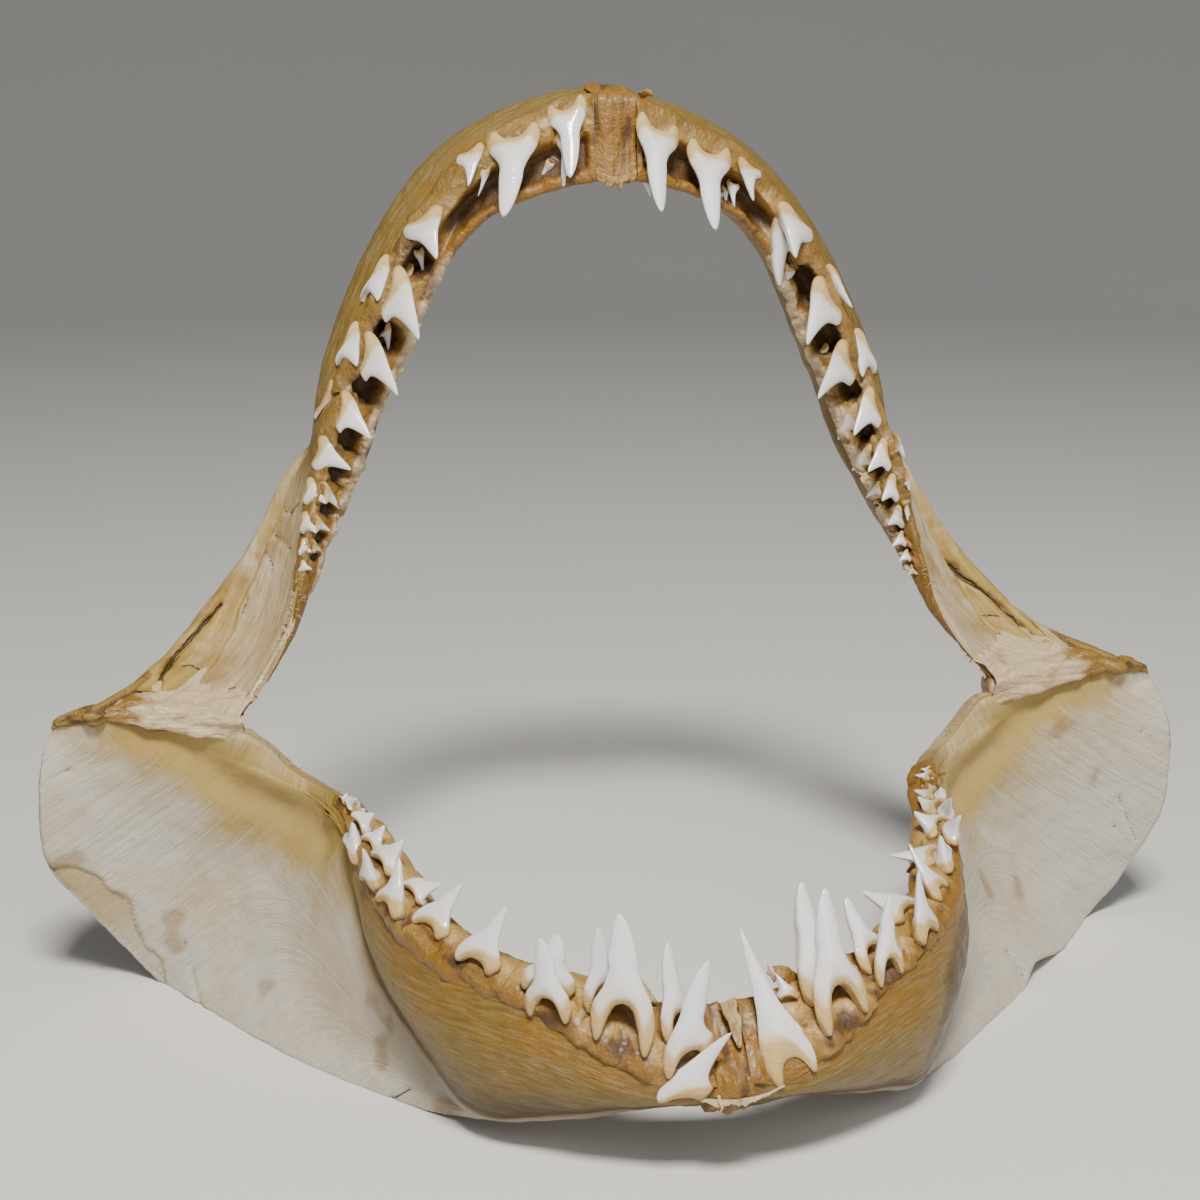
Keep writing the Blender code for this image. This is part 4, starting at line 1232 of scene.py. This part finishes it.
def root_marks(points, teeth, swell, facing):
    """Mounds behind the roots, hollows in their arches and shadows along their feet."""
    mound, hollows, contact = np.zeros((3,) + points.shape[:-1])
    for tip, near, far, arch in teeth:
        near, far = np.array(near, float), np.array(far, float)
        width = np.linalg.norm(far - near)
        shift = 0.36 * width * unit(np.cross(np.array(tip) - near, far - near)) * facing
        near, far = (points.reshape(-1, 3)[((points - lobe)**2).sum(axis=-1).argmin()]
                     for lobe in (near, far))
        behind = line_distance(points, near + shift, far + shift)
        beside = line_distance(points, near, far)
        middle = (near + far) / 2 + shift * 0.3
        mound = np.maximum(mound, swell * width * np.exp(-(behind / (0.32 * width))**2))
        contact = np.maximum(contact, np.exp(-(beside / (0.05 * width + 0.9))**2))
        if arch > FRONT_ARCH:
            from_middle = ((points - middle)**2).sum(axis=-1)
            hollows = np.maximum(hollows, np.exp(-from_middle / (0.2 * width)**2))
    return mound, hollows, contact


def upper_pockets(side, u, v, lumps, folds):
    """How far the gum sinks between the upper teeth, as a share, and how much painted shade it gets
    there.
    """
    crest = np.linalg.norm(through(UPPER_LINGUAL_RIM, u) - through(UPPER_LABIAL_RIM, u), axis=-1)
    sunk = (ease(0.3, 0.46, v + 0.06 * folds) * (1 - ease(0.78, 0.92, v + 0.06 * lumps))
            * ease(0.01, 0.03, u) * (1 - ease(0.26, 0.33, u)))
    shade = sunk * 0.8
    for place, part, half_length, half_width in UPPER_POCKETS[side]:
        along = (u - place) * UPPER_RIM_RUN / (half_length * 1.15)
        sideways = (v - part) * crest / (half_width * 1.2)
        out = np.sqrt(along**2 + sideways**2) + 0.4 * lumps + 0.25 * folds
        sunk = np.maximum(sunk, 1 - ease(0.65, 1.2, out))
        shade = np.maximum(shade, 0.9 - ease(0.6, 1.25, out) * 0.45 - ease(1.1, 1.9, out) * 0.45)
    return sunk, shade


def gum(jaw, side):
    """Dried gum over the crest, raised behind each root and pitted between them."""
    teeth, end, swell = TEETH[jaw][side], GUM_END[jaw], GUM_SWELL[jaw]
    loft = Loft(jaw, side, GUM_ROWS, GUM_COUNTS, 0.0)
    keep = loft.u <= end
    order = np.concatenate((np.flatnonzero((loft.face == 2) & (loft.t < 0.2)),
                            np.flatnonzero(loft.face == 3),
                            np.flatnonzero((loft.face == 0) & (loft.t < GUM_DOWN[jaw]))))
    points = loft.points[keep][:, order]
    oral = loft.oral[keep][:, None]
    away = unit(loft.outward()[keep][:, order] + oral * 0.4)
    face = loft.face[order]
    u = loft.u[keep][:, None]
    # Share across the crest from the labial to the lingual rim, below 0 and over 1 beyond.
    v = np.where(face == 3, loft.t[order], np.where(face == 2, 1 + loft.t[order], -loft.t[order]))
    v = v[None] + 0 * u
    seed = 21.0 + (5 if side == "left" else 0) + (40 if jaw == "upper" else 0)
    lumps = ripple(points, 5, 4, seed)
    folds = ripple(points, 14, 3, seed + 3)
    reach = through(GUM_REACH[jaw, side], u)
    overlap = np.maximum(reach + 0.03 * folds + 0.02 * lumps, 0.02)
    labial = 1 - ease(overlap * 0.7, overlap * 1.1, -v)
    lingual = 1 - ease(0.1, 0.2, v - 1 + 0.04 * lumps)
    last = 1 - ease(end - 0.03, end, u)
    border = labial * lingual * last
    rim = 1 - ease(0.0, 0.9, border)
    thickness = bpy.context.scene.jaw_tissue.thickness / MM
    lift = thickness * (1 + 0.6 * lumps + 0.4 * folds)
    mound, pits, contact = root_marks(points, teeth, swell, loft.facing)
    if jaw == "upper":
        pits = 0
    lift = lift + mound - 1.3 * pits
    sleeve = np.clip(mound / (swell * 8) - 0.5 * pits, 0, 1)
    # Painted shade in the low places between the lumps, in the pits and along the feet of the
    # roots.
    depth = (np.clip(-lumps * 1.1 - folds * 0.4 - 0.3 * sleeve, 0, 1) * 0.8 + 0.55 * pits
             + 0.45 * contact)
    thin = 0
    if jaw == "upper":
        across = np.clip(v, 0, 1)
        floor = -0.85 * through(UPPER_FURROW, u) * 4 * across * (1 - across)
        hollow, shade = upper_pockets(side, u, v, lumps, folds)
        lift = lift + hollow * (np.minimum(floor, -1) - lift)
        depth = np.maximum(depth * (0.45 + 0.55 * ease(0.2, 0.4, v)), shade)
        torn = ease(0.66, 0.9, v + 0.14 * folds) * ease(0.26, 0.36, u)
        thin = torn * (1 - 0.8 * np.clip(depth, 0, 1))
        depth = depth * (1 - 0.7 * torn)
        lift = lift + torn * (lumps * 1.1 + 0.4)
        rim = np.maximum(rim, 0.5 * (1 - ease(0.15, 0.45, v)))
        if side == "left":
            lift = lift + 2.2 * np.exp(-((u - 0.64) / 0.07)**2) * (1 - ease(-0.05, 0.2, v))
    sunk = 0.6 * (1 - border) + 0.6 * (1 - border)**4
    points = points + away * (lift * border - sunk)[..., None]
    points = clear_of_teeth(points, teeth, loft.facing)
    fields = {"depth": depth, "thin": thin, "rim": rim, "sleeve": sleeve}
    obj = quilt(f"{jaw}_gum_{side}", to_world(points, side), fields)
    face_outwards(obj)
    thicken(obj, GUM_WALL, -1)
    finish_piece(obj, "tissue")
    return obj


# Half width, how far it stands out and how far it laps over the halves, by jaw.
SYMPHYSIS_FORM = {"lower": (SYMPHYSIS_LOWER, 1.5, 1.25), "upper": (SYMPHYSIS_UPPER, 2.0, 1.12)}


def symphysis(jaw):
    """Wrinkled tissue between a right and a left half."""
    half_width, swell, wide = SYMPHYSIS_FORM[jaw]
    left, right = (Loft(jaw, side, 12, (40, 4, 34, 16)).points[0] for side in SIDES)
    shares = np.linspace(-1, 1, 34)
    rows = []
    for part in shares:
        blend = (part + 1) / 2
        loop = left * blend + right * (1 - blend)
        centre = loop.mean(axis=0)
        away = unit((loop - centre) * (0, 1, 1))
        loop = loop + away * swell * (1 - 0.5 * part * part)
        uneven = ripple(loop * (0, 1, 1), 9, 3, 60.0 + 20 * np.sign(part))
        loop[:, 0] = part * half_width * (wide + 0.4 * uneven * abs(part)).clip(1.02, 1.5)
        rows.append(loop)
    points = np.array(rows)
    centre = points.mean(axis=1, keepdims=True)
    folds = ripple(points * (1.8, 0.7, 0.4), 6, 3, 77.0)
    edge = 1 - np.abs(shares)[:, None]**4
    points = points + unit((points - centre) * (0, 1, 1)) * (folds * 1.1 * edge)[..., None]
    # depth: painted shade where the folds sink in.
    fields = {"depth": np.clip(0.15 - folds, 0, 1), "thin": np.clip(folds, 0, 1) * 0.3,
              "rim": 0, "sleeve": np.clip(folds, 0, 1) * 0.6}
    obj = closed_quilt(f"{jaw}_symphysis", points, "left", fields)
    finish_piece(obj, "tissue", [f"{jaw}_symphysis_tissue"])
    return obj


def tube(name, centre, radius, side, seed):
    """Wrinkled strand along points, with a radius at each."""
    part = np.linspace(0, 1, len(centre))
    axis = unit(np.gradient(centre, axis=0))
    one = unit(np.cross(axis, (0.0, 0.0, 1.0)))
    other = np.cross(axis, one)
    turn = np.linspace(0, 2 * pi, 25)[:-1]
    around = one[:, None] * np.cos(turn)[:, None] + other[:, None] * np.sin(turn)[:, None]
    folds = ripple(stacked(part[:, None] * 6, np.cos(turn), np.sin(turn)), 1, 3, seed)
    points = centre[:, None] + around * (radius[:, None] * (1 + 0.35 * folds))[..., None]
    # depth: painted shade where the folds sink in.
    return closed_quilt(name, points, side, {
        "depth": np.clip(0.3 - folds, 0, 1), "thin": np.clip(folds, 0, 1) * 0.4, "rim": 1,
        "sleeve": 0})


# Strand from a plate's outer corner round the top of the wing: where it follows the plate
# and the wing, as (row, share down the outer face), and its radii by share of its length.
STRAND_ON_PLATE = ((0.94, 0.95), (0.985, 0.95))
STRAND_ON_WING = ((0.958, 0.01), (0.968, 0.015), (0.984, 0.015), (1.0, 0.015), (1.0, 0.15),
                  (1.0, 0.35))
STRAND_RADII = ((0.0, 0.8), (0.1, 2.6), (0.3, 3.2), (0.45, 2.7), (0.6, 2.0), (0.8, 1.3),
                (1.0, 0.6))
JOINT_ROWS = 240
JOINT_WING_COUNTS = (90, 5, 40, 12)


def joint_ligament(side):
    """Dried ligament between the lower jaw's crest and the upper jaw's foot."""
    seed = 91.0 if side == "left" else 97.0
    part = np.linspace(0, 1, 70)
    u = JOINT_START + (JOINT_END - JOINT_START) * 0.92 * part
    front = lower_rim(LOWER_LABIAL_RIM, u)
    back = lower_rim(LOWER_LINGUAL_RIM, u)
    foot = FOOT_LOW + FOOT_SLOPE * (front[:, 0] - FOOT_START)
    turn = np.linspace(0, 2 * pi, 49)[:-1]
    middle = (front + back) / 2
    high = (foot + middle[:, 2]) / 2
    taper = np.sqrt(1 - 0.95 * ease(0.7, 1.0, part)**2)
    tall = ((foot - middle[:, 2]) / 2 + 1.0) * taper
    deep = np.linalg.norm(back - front, axis=1) * 0.46 * taper
    points = stacked(middle[:, 0, None], middle[:, 1, None] - deep[:, None] * np.cos(turn),
                     high[:, None] + tall[:, None] * np.sin(turn))
    folds = ripple(points * (0.5, 1, 1.6), 5, 4, seed)
    points = points + stacked(0, -np.cos(turn), np.sin(turn)) * (folds * 0.6)[..., None]
    # depth: painted shade where the folds sink in.
    core = closed_quilt(f"joint_ligament_{side}", points, side, {
        "depth": np.clip(-folds * 1.3, 0, 1), "thin": np.clip(0.6 + folds, 0, 1), "rim": 0,
        "sleeve": 0.5})
    plate = Loft("upper", side, JOINT_ROWS, UPPER_COUNTS)
    wing = Loft("lower", side, JOINT_ROWS, JOINT_WING_COUNTS)
    capsule = joint_capsule(plate, wing, seed)
    stops = np.concatenate([
        loft.at(*np.array(places).T, lift)
        for loft, places, lift in ((plate, STRAND_ON_PLATE, 0.2), (wing, STRAND_ON_WING, -0.5))])
    along = np.linspace(0, 1, 60)
    course = through(evenly(stops), along)
    strand = tube(f"joint_strand_{side}", course, np.interp(along, *np.array(STRAND_RADII).T),
                  side, seed)
    obj = join_pieces(f"joint_ligament_{side}", [core, capsule, strand])
    finish_piece(obj, "tissue", [f"jaw_joint_{side}"])
    return obj


def joint_capsule(plate, wing, seed):
    """Creased membrane from the plate's foot over the joint to the wing's rim."""
    along = np.linspace(0, 1, 170)
    down = np.linspace(0, 1, 70)
    grain = ripple(stacked(along * 9, 0, 0), 1, 4, seed)
    stout = 1 - 0.4 * ease(0.8, 1.0, along)
    plate_width = 0.01 + 0.95 * along
    wing_length = 0.872 + 0.093 * along
    foot = plate.at(1, plate_width, (1.8 + 0.6 * grain) * stout)
    rim = wing.at(wing_length, 0, (2.2 + 0.5 * grain) * stout)
    between = (foot + rim) / 2 + unit(np.array((0, -0.8, 0.6))) * (2.4 * stout)[:, None]
    knots = np.stack((
        plate.at(0.955 - 0.03 * along + 0.02 * grain, plate_width, -0.8),
        plate.at(0.975 + 0.01 * grain, plate_width, (1.3 + 0.5 * grain) * stout),
        foot, between, rim,
        wing.at(wing_length, 0.055 + 0.02 * grain, (0.9 + 0.3 * grain) * stout),
        wing.at(wing_length, 0.1 + 0.03 * grain, -1.2)), axis=1)
    points = spread(knots, down)
    away = unit(np.cross(np.gradient(points, axis=1), np.gradient(points, axis=0)))
    away = away * np.sign((away * (0, -1, 0)).sum(axis=-1).mean())
    creases = ripple(points * (0.3, 0.7, 1.5), 3.6, 4, seed + 9)
    folds = ripple(points * (0.6, 1, 1.2), 9, 3, seed + 4)
    middle = ease(0.02, 0.2, down) * (1 - ease(0.8, 0.98, down))
    tail = ease(0.88, 1.0, along)[:, None]
    points = points + away * ((creases * 0.9 + folds * 0.9) * middle - 3.2 * tail)[..., None]
    ragged = ripple(stacked(0, down * 5, 0), 1, 4, seed + 17)
    points = points + unit(np.gradient(points, axis=0)) * ((4 * ragged - 1.5) * tail)[..., None]
    gap = np.exp(-((down - 0.76 - 0.1 * folds) / 0.04)**2) * ease(0.0, 0.3, 1 - along)[:, None]
    outer = ease(0.6, 0.88, along)[:, None] * np.maximum(ease(0.3, 0.5, down), tail)
    # depth: painted shade in the sunken creases and along a line across the membrane.
    fields = {"depth": np.clip(-creases * 0.4 + gap * 0.3, 0, 1) * 0.7,
              "thin": np.clip(0.95 + creases * 0.4 - outer - 0.15 * gap, 0, 1),
              "rim": 0.45 * outer, "sleeve": np.clip(0.6 + folds, 0, 1) * (1 - outer)}
    obj = quilt(f"joint_capsule_{plate.side}", to_world(points, plate.side), fields)
    thicken(obj, bpy.context.scene.jaw_tissue.membrane, -1)
    return obj


# Guide points that several hems and frayed edges follow: down the inside of the arch, and
# along the lower jaw's crest to the joint.
ARCH_REAR = ((75, 7, 181), (82, 4, 164), (89, -1, 149), (95, -5, 136))
CREST_END = ((104, -36, 74), (112, -34, 77), (121, -32, 84))
# Torn tags of membrane, as (side, start, bend, end, width, how pale).
TAGS = (
    ("left", (1.2, -164.5, 46), (2.2, -168.5, 42), (2.8, -173, 36.5), 5.0, 0.5),
    ("right", (4.5, -180, 27), (3.8, -181.6, 24.4), (4.4, -181.6, 22.8), 1.0, 0.8),
    ("right", (30, -156.5, 50.5), (24, -159, 52), (17, -162, 46), 5.4, 1.0),
    ("left", (21, -159, 47), (17.5, -160.5, 51), (14.5, -161, 53), 5.0, 0.3),
    ("left", (15.5, -160.5, 49), (13.4, -162, 52), (12.8, -162, 54.2), 1.6, 1.0),
    ("right", (45, -147, 49.5), (43, -149, 52), (41.6, -149.5, 53), 2.4, 0.6),
    ("left", (30, -153, 48.5), (31.5, -154, 51.2), (33, -154, 52.4), 2.8, 0.6),
    ("left", (73, -102, 56.5), (74.5, -103, 60), (76, -101, 62.4), 3.4, 0.3),
    ("left", (69.5, -108, 55.5), (71, -108.5, 59), (70.5, -107, 61), 2.6, 0.3),
    ("left", (9, 1, 277.4), (11, -0.8, 278.4), (12.8, -1.2, 277.4), 2.8, 0.2))
# Ragged hems of thin membrane, as (side, line, way it hangs, least and most reach, how pale).
HEMS = (
    ("left", ((-9, -179, 25.6), (-5, -180, 25.4), (0, -180.6, 25.2), (5, -180.2, 25.4),
              (9, -179.8, 26), (13.5, -178.8, 27.4)), (0.02, -0.3, -0.95), (0.1, 2.4), 0.85),
    ("left", ((-6.5, -7.5, 254.5), (-3, -9, 253), (0, -9.3, 252.5), (3, -9, 253),
              (6.5, -7.6, 254.5)), (0.0, -0.25, -1.0), (1.0, 5.2), 0.25),
    ("right", ((52, 3, 229), (60, 5, 213), (67, 6, 197)) + ARCH_REAR, (-0.8, -0.25, -0.45),
     (0.6, 2.8), 0.9),
    ("left", ((66, 6, 199),) + ARCH_REAR, (-0.8, -0.25, -0.45), (0.6, 2.8), 0.9),
    ("right", ((105, -17, 118), (108, -18.5, 112), (113, -21, 104), (119, -26, 96), (122, -29, 92)),
     (-0.75, -0.35, -0.6), (0.5, 2.6), 0.9),
    ("left", ((105, -17, 118), (108, -18.5, 112), (113, -21, 104), (119, -26, 95), (121, -28, 90)),
     (-0.75, -0.35, -0.6), (0.5, 2.2), 0.9))
# Edges frayed into fine fibres, as (side, line, way the fibres point, count, length).
FRAYS = (
    ("right", ((103, -13, 126), (106, -16, 118), (112, -20, 105), (121, -28, 93)),
     (-0.7, -0.4, -0.7), 70, 2.6),
    ("left", ((103, -13, 126), (106, -16, 118), (112, -20, 105), (120, -27, 92)),
     (-0.7, -0.4, -0.7), 60, 2.2),
    ("right", ((56, 4, 222), (67, 6, 197)) + ARCH_REAR, (-0.8, -0.3, -0.5), 130, 1.2),
    ("left", ((66, 6, 199),) + ARCH_REAR, (-0.8, -0.3, -0.5), 130, 1.2),
    ("right", CREST_END, (-0.5, -0.2, 0.8), 26, 1.3),
    ("left", CREST_END, (-0.5, -0.2, 0.8), 26, 1.3))


def strip_pattern(name, rows):
    """Closed flat strand, one long, from a grid primitive."""
    turn = np.linspace(0, 2 * pi, 9)
    points = stacked(np.linspace(0, 1, rows)[:, None], np.cos(turn), np.sin(turn))
    obj = quilt(name, points, {"thin": 1, "depth": 0, "rim": 0, "sleeve": 0.6})
    face_outwards(obj, close=True)
    return obj


def set_strip(pattern, name, side, line, width, pale, seed):
    """Copy of a pattern, laid along three guide points, ragged and curled at its end."""
    obj = copy_of(pattern, name)
    mesh = obj.data
    part, wide, thick = points_of(mesh).T
    keys = evenly(line)
    centre = through(keys, part)
    axis = tangent(keys, part)
    flat_way = unit(np.cross(axis, (0.0, -1.0, 0.15)))
    turn = 1.6 * part * noise.noise((seed, 0.5, 0.5)) + 0.4
    normal = np.cross(axis, flat_way)
    sideways = flat_way * np.cos(turn)[:, None] + normal * np.sin(turn)[:, None]
    normal = np.cross(axis, sideways)
    ragged = ripple(stacked(part * 4, wide, 0), 1, 3, seed)
    half = width / 2 * (1 - 0.8 * part**2) * (1 + (0.3 if width > 2 else 0.5) * ragged)
    points = (centre + sideways * (wide * half)[:, None]
              + normal * (thick * min(0.2, width / 5) + 0.2 * width * ragged * part)[:, None])
    place_points(mesh, to_world(points, side))
    values = np.full(len(mesh.vertices), pale, np.float32)
    mesh.attributes["thin"].data.foreach_set("value", values)
    return obj


def hem(name, side, line, way, reach, pale, seed):
    """Thin membrane that hangs from a line of guide points and ends in rags."""
    keys = evenly(line)
    extent = np.linalg.norm(np.diff(np.array(line, float), axis=0), axis=1).sum()
    part = np.linspace(0, 1, int(extent * 5))
    down = np.linspace(0, 1, 9)
    top = through(keys, part)
    along = stacked(part * extent, 0, 0)
    ragged = ripple(along, 3.2, 5, seed)
    broad = ripple(along, 9.0, 2, seed + 5)
    hang = (reach[0] + (reach[1] - reach[0]) * np.clip(0.3 + 1.1 * broad + 0.9 * ragged, 0, 1)
            * np.sin(pi * part)**0.5)
    way = unit(np.array(way))
    curl = unit(np.cross(tangent(keys, part), way))
    sway = ripple(along, 6.5, 3, seed + 9)[:, None] * 1.1 * down**1.5
    points = (top[:, None] - way * 0.5 + way * ((hang + 0.5)[:, None] * down)[..., None]
              + curl[:, None] * sway[..., None])
    folds = ripple(points, 3.0, 3, seed)
    fields = {"thin": np.clip(pale + 0.3 * folds, 0, 1), "depth": np.clip(-folds, 0, 1) * 0.3,
              "rim": 0, "sleeve": 0.5}
    obj = quilt(name, to_world(points, side), fields)
    thicken(obj, bpy.context.scene.jaw_tissue.membrane, 0)
    return obj


def shreds(side):
    """The torn tags and frayed fibres of one side."""
    broad = strip_pattern("tag_pattern", 16)
    slim = strip_pattern("fibre_pattern", 6)
    chance = np.random.default_rng(7 if side == "left" else 8)
    parts = []
    for k, (which, start, bend, end, width, pale) in enumerate(TAGS):
        if which == side:
            parts.append(set_strip(broad, f"tag_{k:02d}", side, (start, bend, end), width, pale,
                                   3.7 * k + 0.4))
    for k, (which, line, way, reach, pale) in enumerate(HEMS):
        if which == side:
            parts.append(hem(f"hem_{k:02d}", side, line, way, reach, pale, 31.0 + 4.3 * k))
    for which, line, way, count, reach in FRAYS:
        if which != side:
            continue
        for k, place in enumerate(through(evenly(line), np.sort(chance.random(count)))):
            root = place + chance.normal(0, 0.5, 3)
            along = unit(np.array(way) + chance.normal(0, 0.45, 3))
            long = reach * chance.uniform(0.4, 1.3)
            bend = root + along * long * 0.6 + chance.normal(0, 0.15, 3) * long
            end = root + along * long + chance.normal(0, 0.35, 3) * long
            parts.append(set_strip(slim, f"fibre_{k:03d}", side, (root - along, bend, end),
                                   chance.uniform(0.15, 0.4), 1.0, 5.1 * k))
    for pattern in (broad, slim):
        bpy.data.objects.remove(pattern, do_unlink=True)
    obj = join_pieces("torn_shreds_" + side, parts)
    finish_piece(obj, "tissue")
    return obj


# ------------------------------------------------------------------ operators


class JAW_OT_lower_cartilages(Operator):
    """Model both halves of the lower jaw"""
    bl_idname = "jaw.lower_cartilages"
    bl_label = "Lower cartilages"

    def execute(self, context):
        for side in SIDES:
            lower_cartilage(side)
        return {"FINISHED"}


class JAW_OT_upper_cartilages(Operator):
    """Model both halves of the upper jaw"""
    bl_idname = "jaw.upper_cartilages"
    bl_label = "Upper cartilages"

    def execute(self, context):
        for side in SIDES:
            upper_cartilage(side)
        return {"FINISHED"}


class JAW_OT_lower_teeth(Operator):
    """Set the lower teeth"""
    bl_idname = "jaw.lower_teeth"
    bl_label = "Lower teeth"

    def execute(self, context):
        for side in SIDES:
            teeth_of("lower", side)
        return {"FINISHED"}


class JAW_OT_upper_teeth(Operator):
    """Set the upper teeth"""
    bl_idname = "jaw.upper_teeth"
    bl_label = "Upper teeth"

    def execute(self, context):
        for side in SIDES:
            teeth_of("upper", side)
        return {"FINISHED"}


class JAW_OT_gums(Operator):
    """Lay the dried gums over the crests"""
    bl_idname = "jaw.gums"
    bl_label = "Gums"

    def execute(self, context):
        for side in SIDES:
            gum("lower", side)
            gum("upper", side)
        return {"FINISHED"}


class JAW_OT_tissue(Operator):
    """Model the tissue at the symphyses and the joints"""
    bl_idname = "jaw.tissue"
    bl_label = "Symphyses and joints"

    def execute(self, context):
        for jaw in ("lower", "upper"):
            symphysis(jaw)
        for side in SIDES:
            joint_ligament(side)
        return {"FINISHED"}


class JAW_OT_shreds(Operator):
    """Model the torn tags and frayed fibres"""
    bl_idname = "jaw.shreds"
    bl_label = "Torn shreds"

    def execute(self, context):
        for side in SIDES:
            shreds(side)
        return {"FINISHED"}


class JAW_OT_studio(Operator):
    """Make the floor, the lamps and the camera"""
    bl_idname = "jaw.studio"
    bl_label = "Studio"

    def execute(self, context):
        studio(context.scene.jaw_studio)
        return {"FINISHED"}


FLOOR_RADIUS = 2.0
LAMP_TARGET = (0, 0, 0.12)
# Strength and tint of the light from all round.
AIR = (0.16, (0.9, 0.93, 1.0, 1))
# Where the camera stands, and its turns in degrees from looking straight down.
CAMERA_PLACE = (-0.1245, -0.5844, 0.2827)
CAMERA_TURNS = (76, 0, -10)


def area_lamp(name, place, size, power, tint):
    """Soft rectangular lamp that shines on the jaw."""
    alone()
    bpy.ops.object.light_add(type="AREA", location=place)
    lamp = bpy.context.object
    lamp.name = name
    lamp.data.shape = "RECTANGLE"
    lamp.data.size = size[0]
    lamp.data.size_y = size[1]
    lamp.data.energy = power
    lamp.data.color = tint
    way = Vector(LAMP_TARGET) - lamp.location
    lamp.rotation_euler = way.to_track_quat("-Z", "Y").to_euler()


def studio(settings):
    """Round floor whose rim curves up, soft lamps and the camera."""
    alone()
    bpy.ops.mesh.primitive_circle_add(vertices=96, radius=FLOOR_RADIUS, fill_type="NGON",
                                      location=(0, 0, 0))
    floor = bpy.context.object
    floor.name = "floor"
    bpy.ops.object.mode_set(mode="EDIT")
    bpy.ops.mesh.select_all(action="SELECT")
    bpy.ops.mesh.select_mode(type="EDGE")
    bpy.ops.mesh.region_to_loop()
    for k in range(8):
        bpy.ops.mesh.extrude_region_move(TRANSFORM_OT_translate={"value": (0, 0, 0.05 + 0.05 * k)})
        bpy.ops.transform.resize(value=(1.14 - 0.017 * k, 1.14 - 0.017 * k, 1))
    bpy.ops.mesh.select_all(action="SELECT")
    bpy.ops.mesh.normals_make_consistent(inside=True)
    bpy.ops.object.mode_set(mode="OBJECT")
    bpy.ops.object.shade_smooth()
    floor.data.materials.append(look("floor"))
    area_lamp("key_lamp", (-0.1, -0.76, 1.36), (0.38, 0.28), settings.key, (1.0, 0.97, 0.92))
    area_lamp("fill_lamp", (0.45, -1.15, 0.9), (0.9, 0.7), settings.fill, (0.95, 0.97, 1.0))
    world = bpy.data.worlds.new("studio_air")
    bpy.context.scene.world = world
    world.use_nodes = True
    strength, tint = AIR
    air = world.node_tree.nodes["Background"]
    air.inputs["Color"].default_value = tint
    air.inputs["Strength"].default_value = strength
    alone()
    bpy.ops.object.camera_add(location=CAMERA_PLACE,
                              rotation=[radians(turn) for turn in CAMERA_TURNS])
    camera = bpy.context.object
    camera.name = "camera"
    camera.data.lens = settings.lens
    camera.data.sensor_width = 36
    camera.data.clip_start = 0.01
    bpy.context.scene.camera = camera


class JAW_PT_panel(Panel):
    """Shows the settings and has a button for each group of pieces"""
    bl_idname = "JAW_PT_panel"
    bl_label = "Shark jaw"
    bl_space_type = "VIEW_3D"
    bl_region_type = "UI"
    bl_category = "Shark jaw"

    def draw(self, context):
        for name in GROUPS:
            for key in GROUPS[name].__annotations__:
                self.layout.prop(getattr(context.scene, name), key)
        for operator in OPERATORS:
            self.layout.operator(operator.bl_idname)


GROUPS = {"jaw_cartilage": JawCartilageSettings, "jaw_teeth": JawToothSettings,
          "jaw_tissue": JawTissueSettings, "jaw_studio": JawStudioSettings}
OPERATORS = (JAW_OT_lower_cartilages, JAW_OT_upper_cartilages, JAW_OT_lower_teeth,
             JAW_OT_upper_teeth, JAW_OT_gums, JAW_OT_tissue, JAW_OT_shreds,
             JAW_OT_studio)


def register():
    """Register the settings, the operators and the panel."""
    for name, group in GROUPS.items():
        bpy.utils.register_class(group)
        setattr(bpy.types.Scene, name, PointerProperty(type=group))
    for operator in OPERATORS + (JAW_PT_panel,):
        bpy.utils.register_class(operator)


def unregister():
    """Take the add-on out again."""
    for operator in (JAW_PT_panel,) + OPERATORS[::-1]:
        bpy.utils.unregister_class(operator)
    for name, group in GROUPS.items():
        delattr(bpy.types.Scene, name)
        bpy.utils.unregister_class(group)


def main():
    """Make every piece."""
    register()
    for operator in OPERATORS:
        group, name = operator.bl_idname.split(".")
        getattr(getattr(bpy.ops, group), name)()
    alone()


if __name__ == "__main__":
    main()
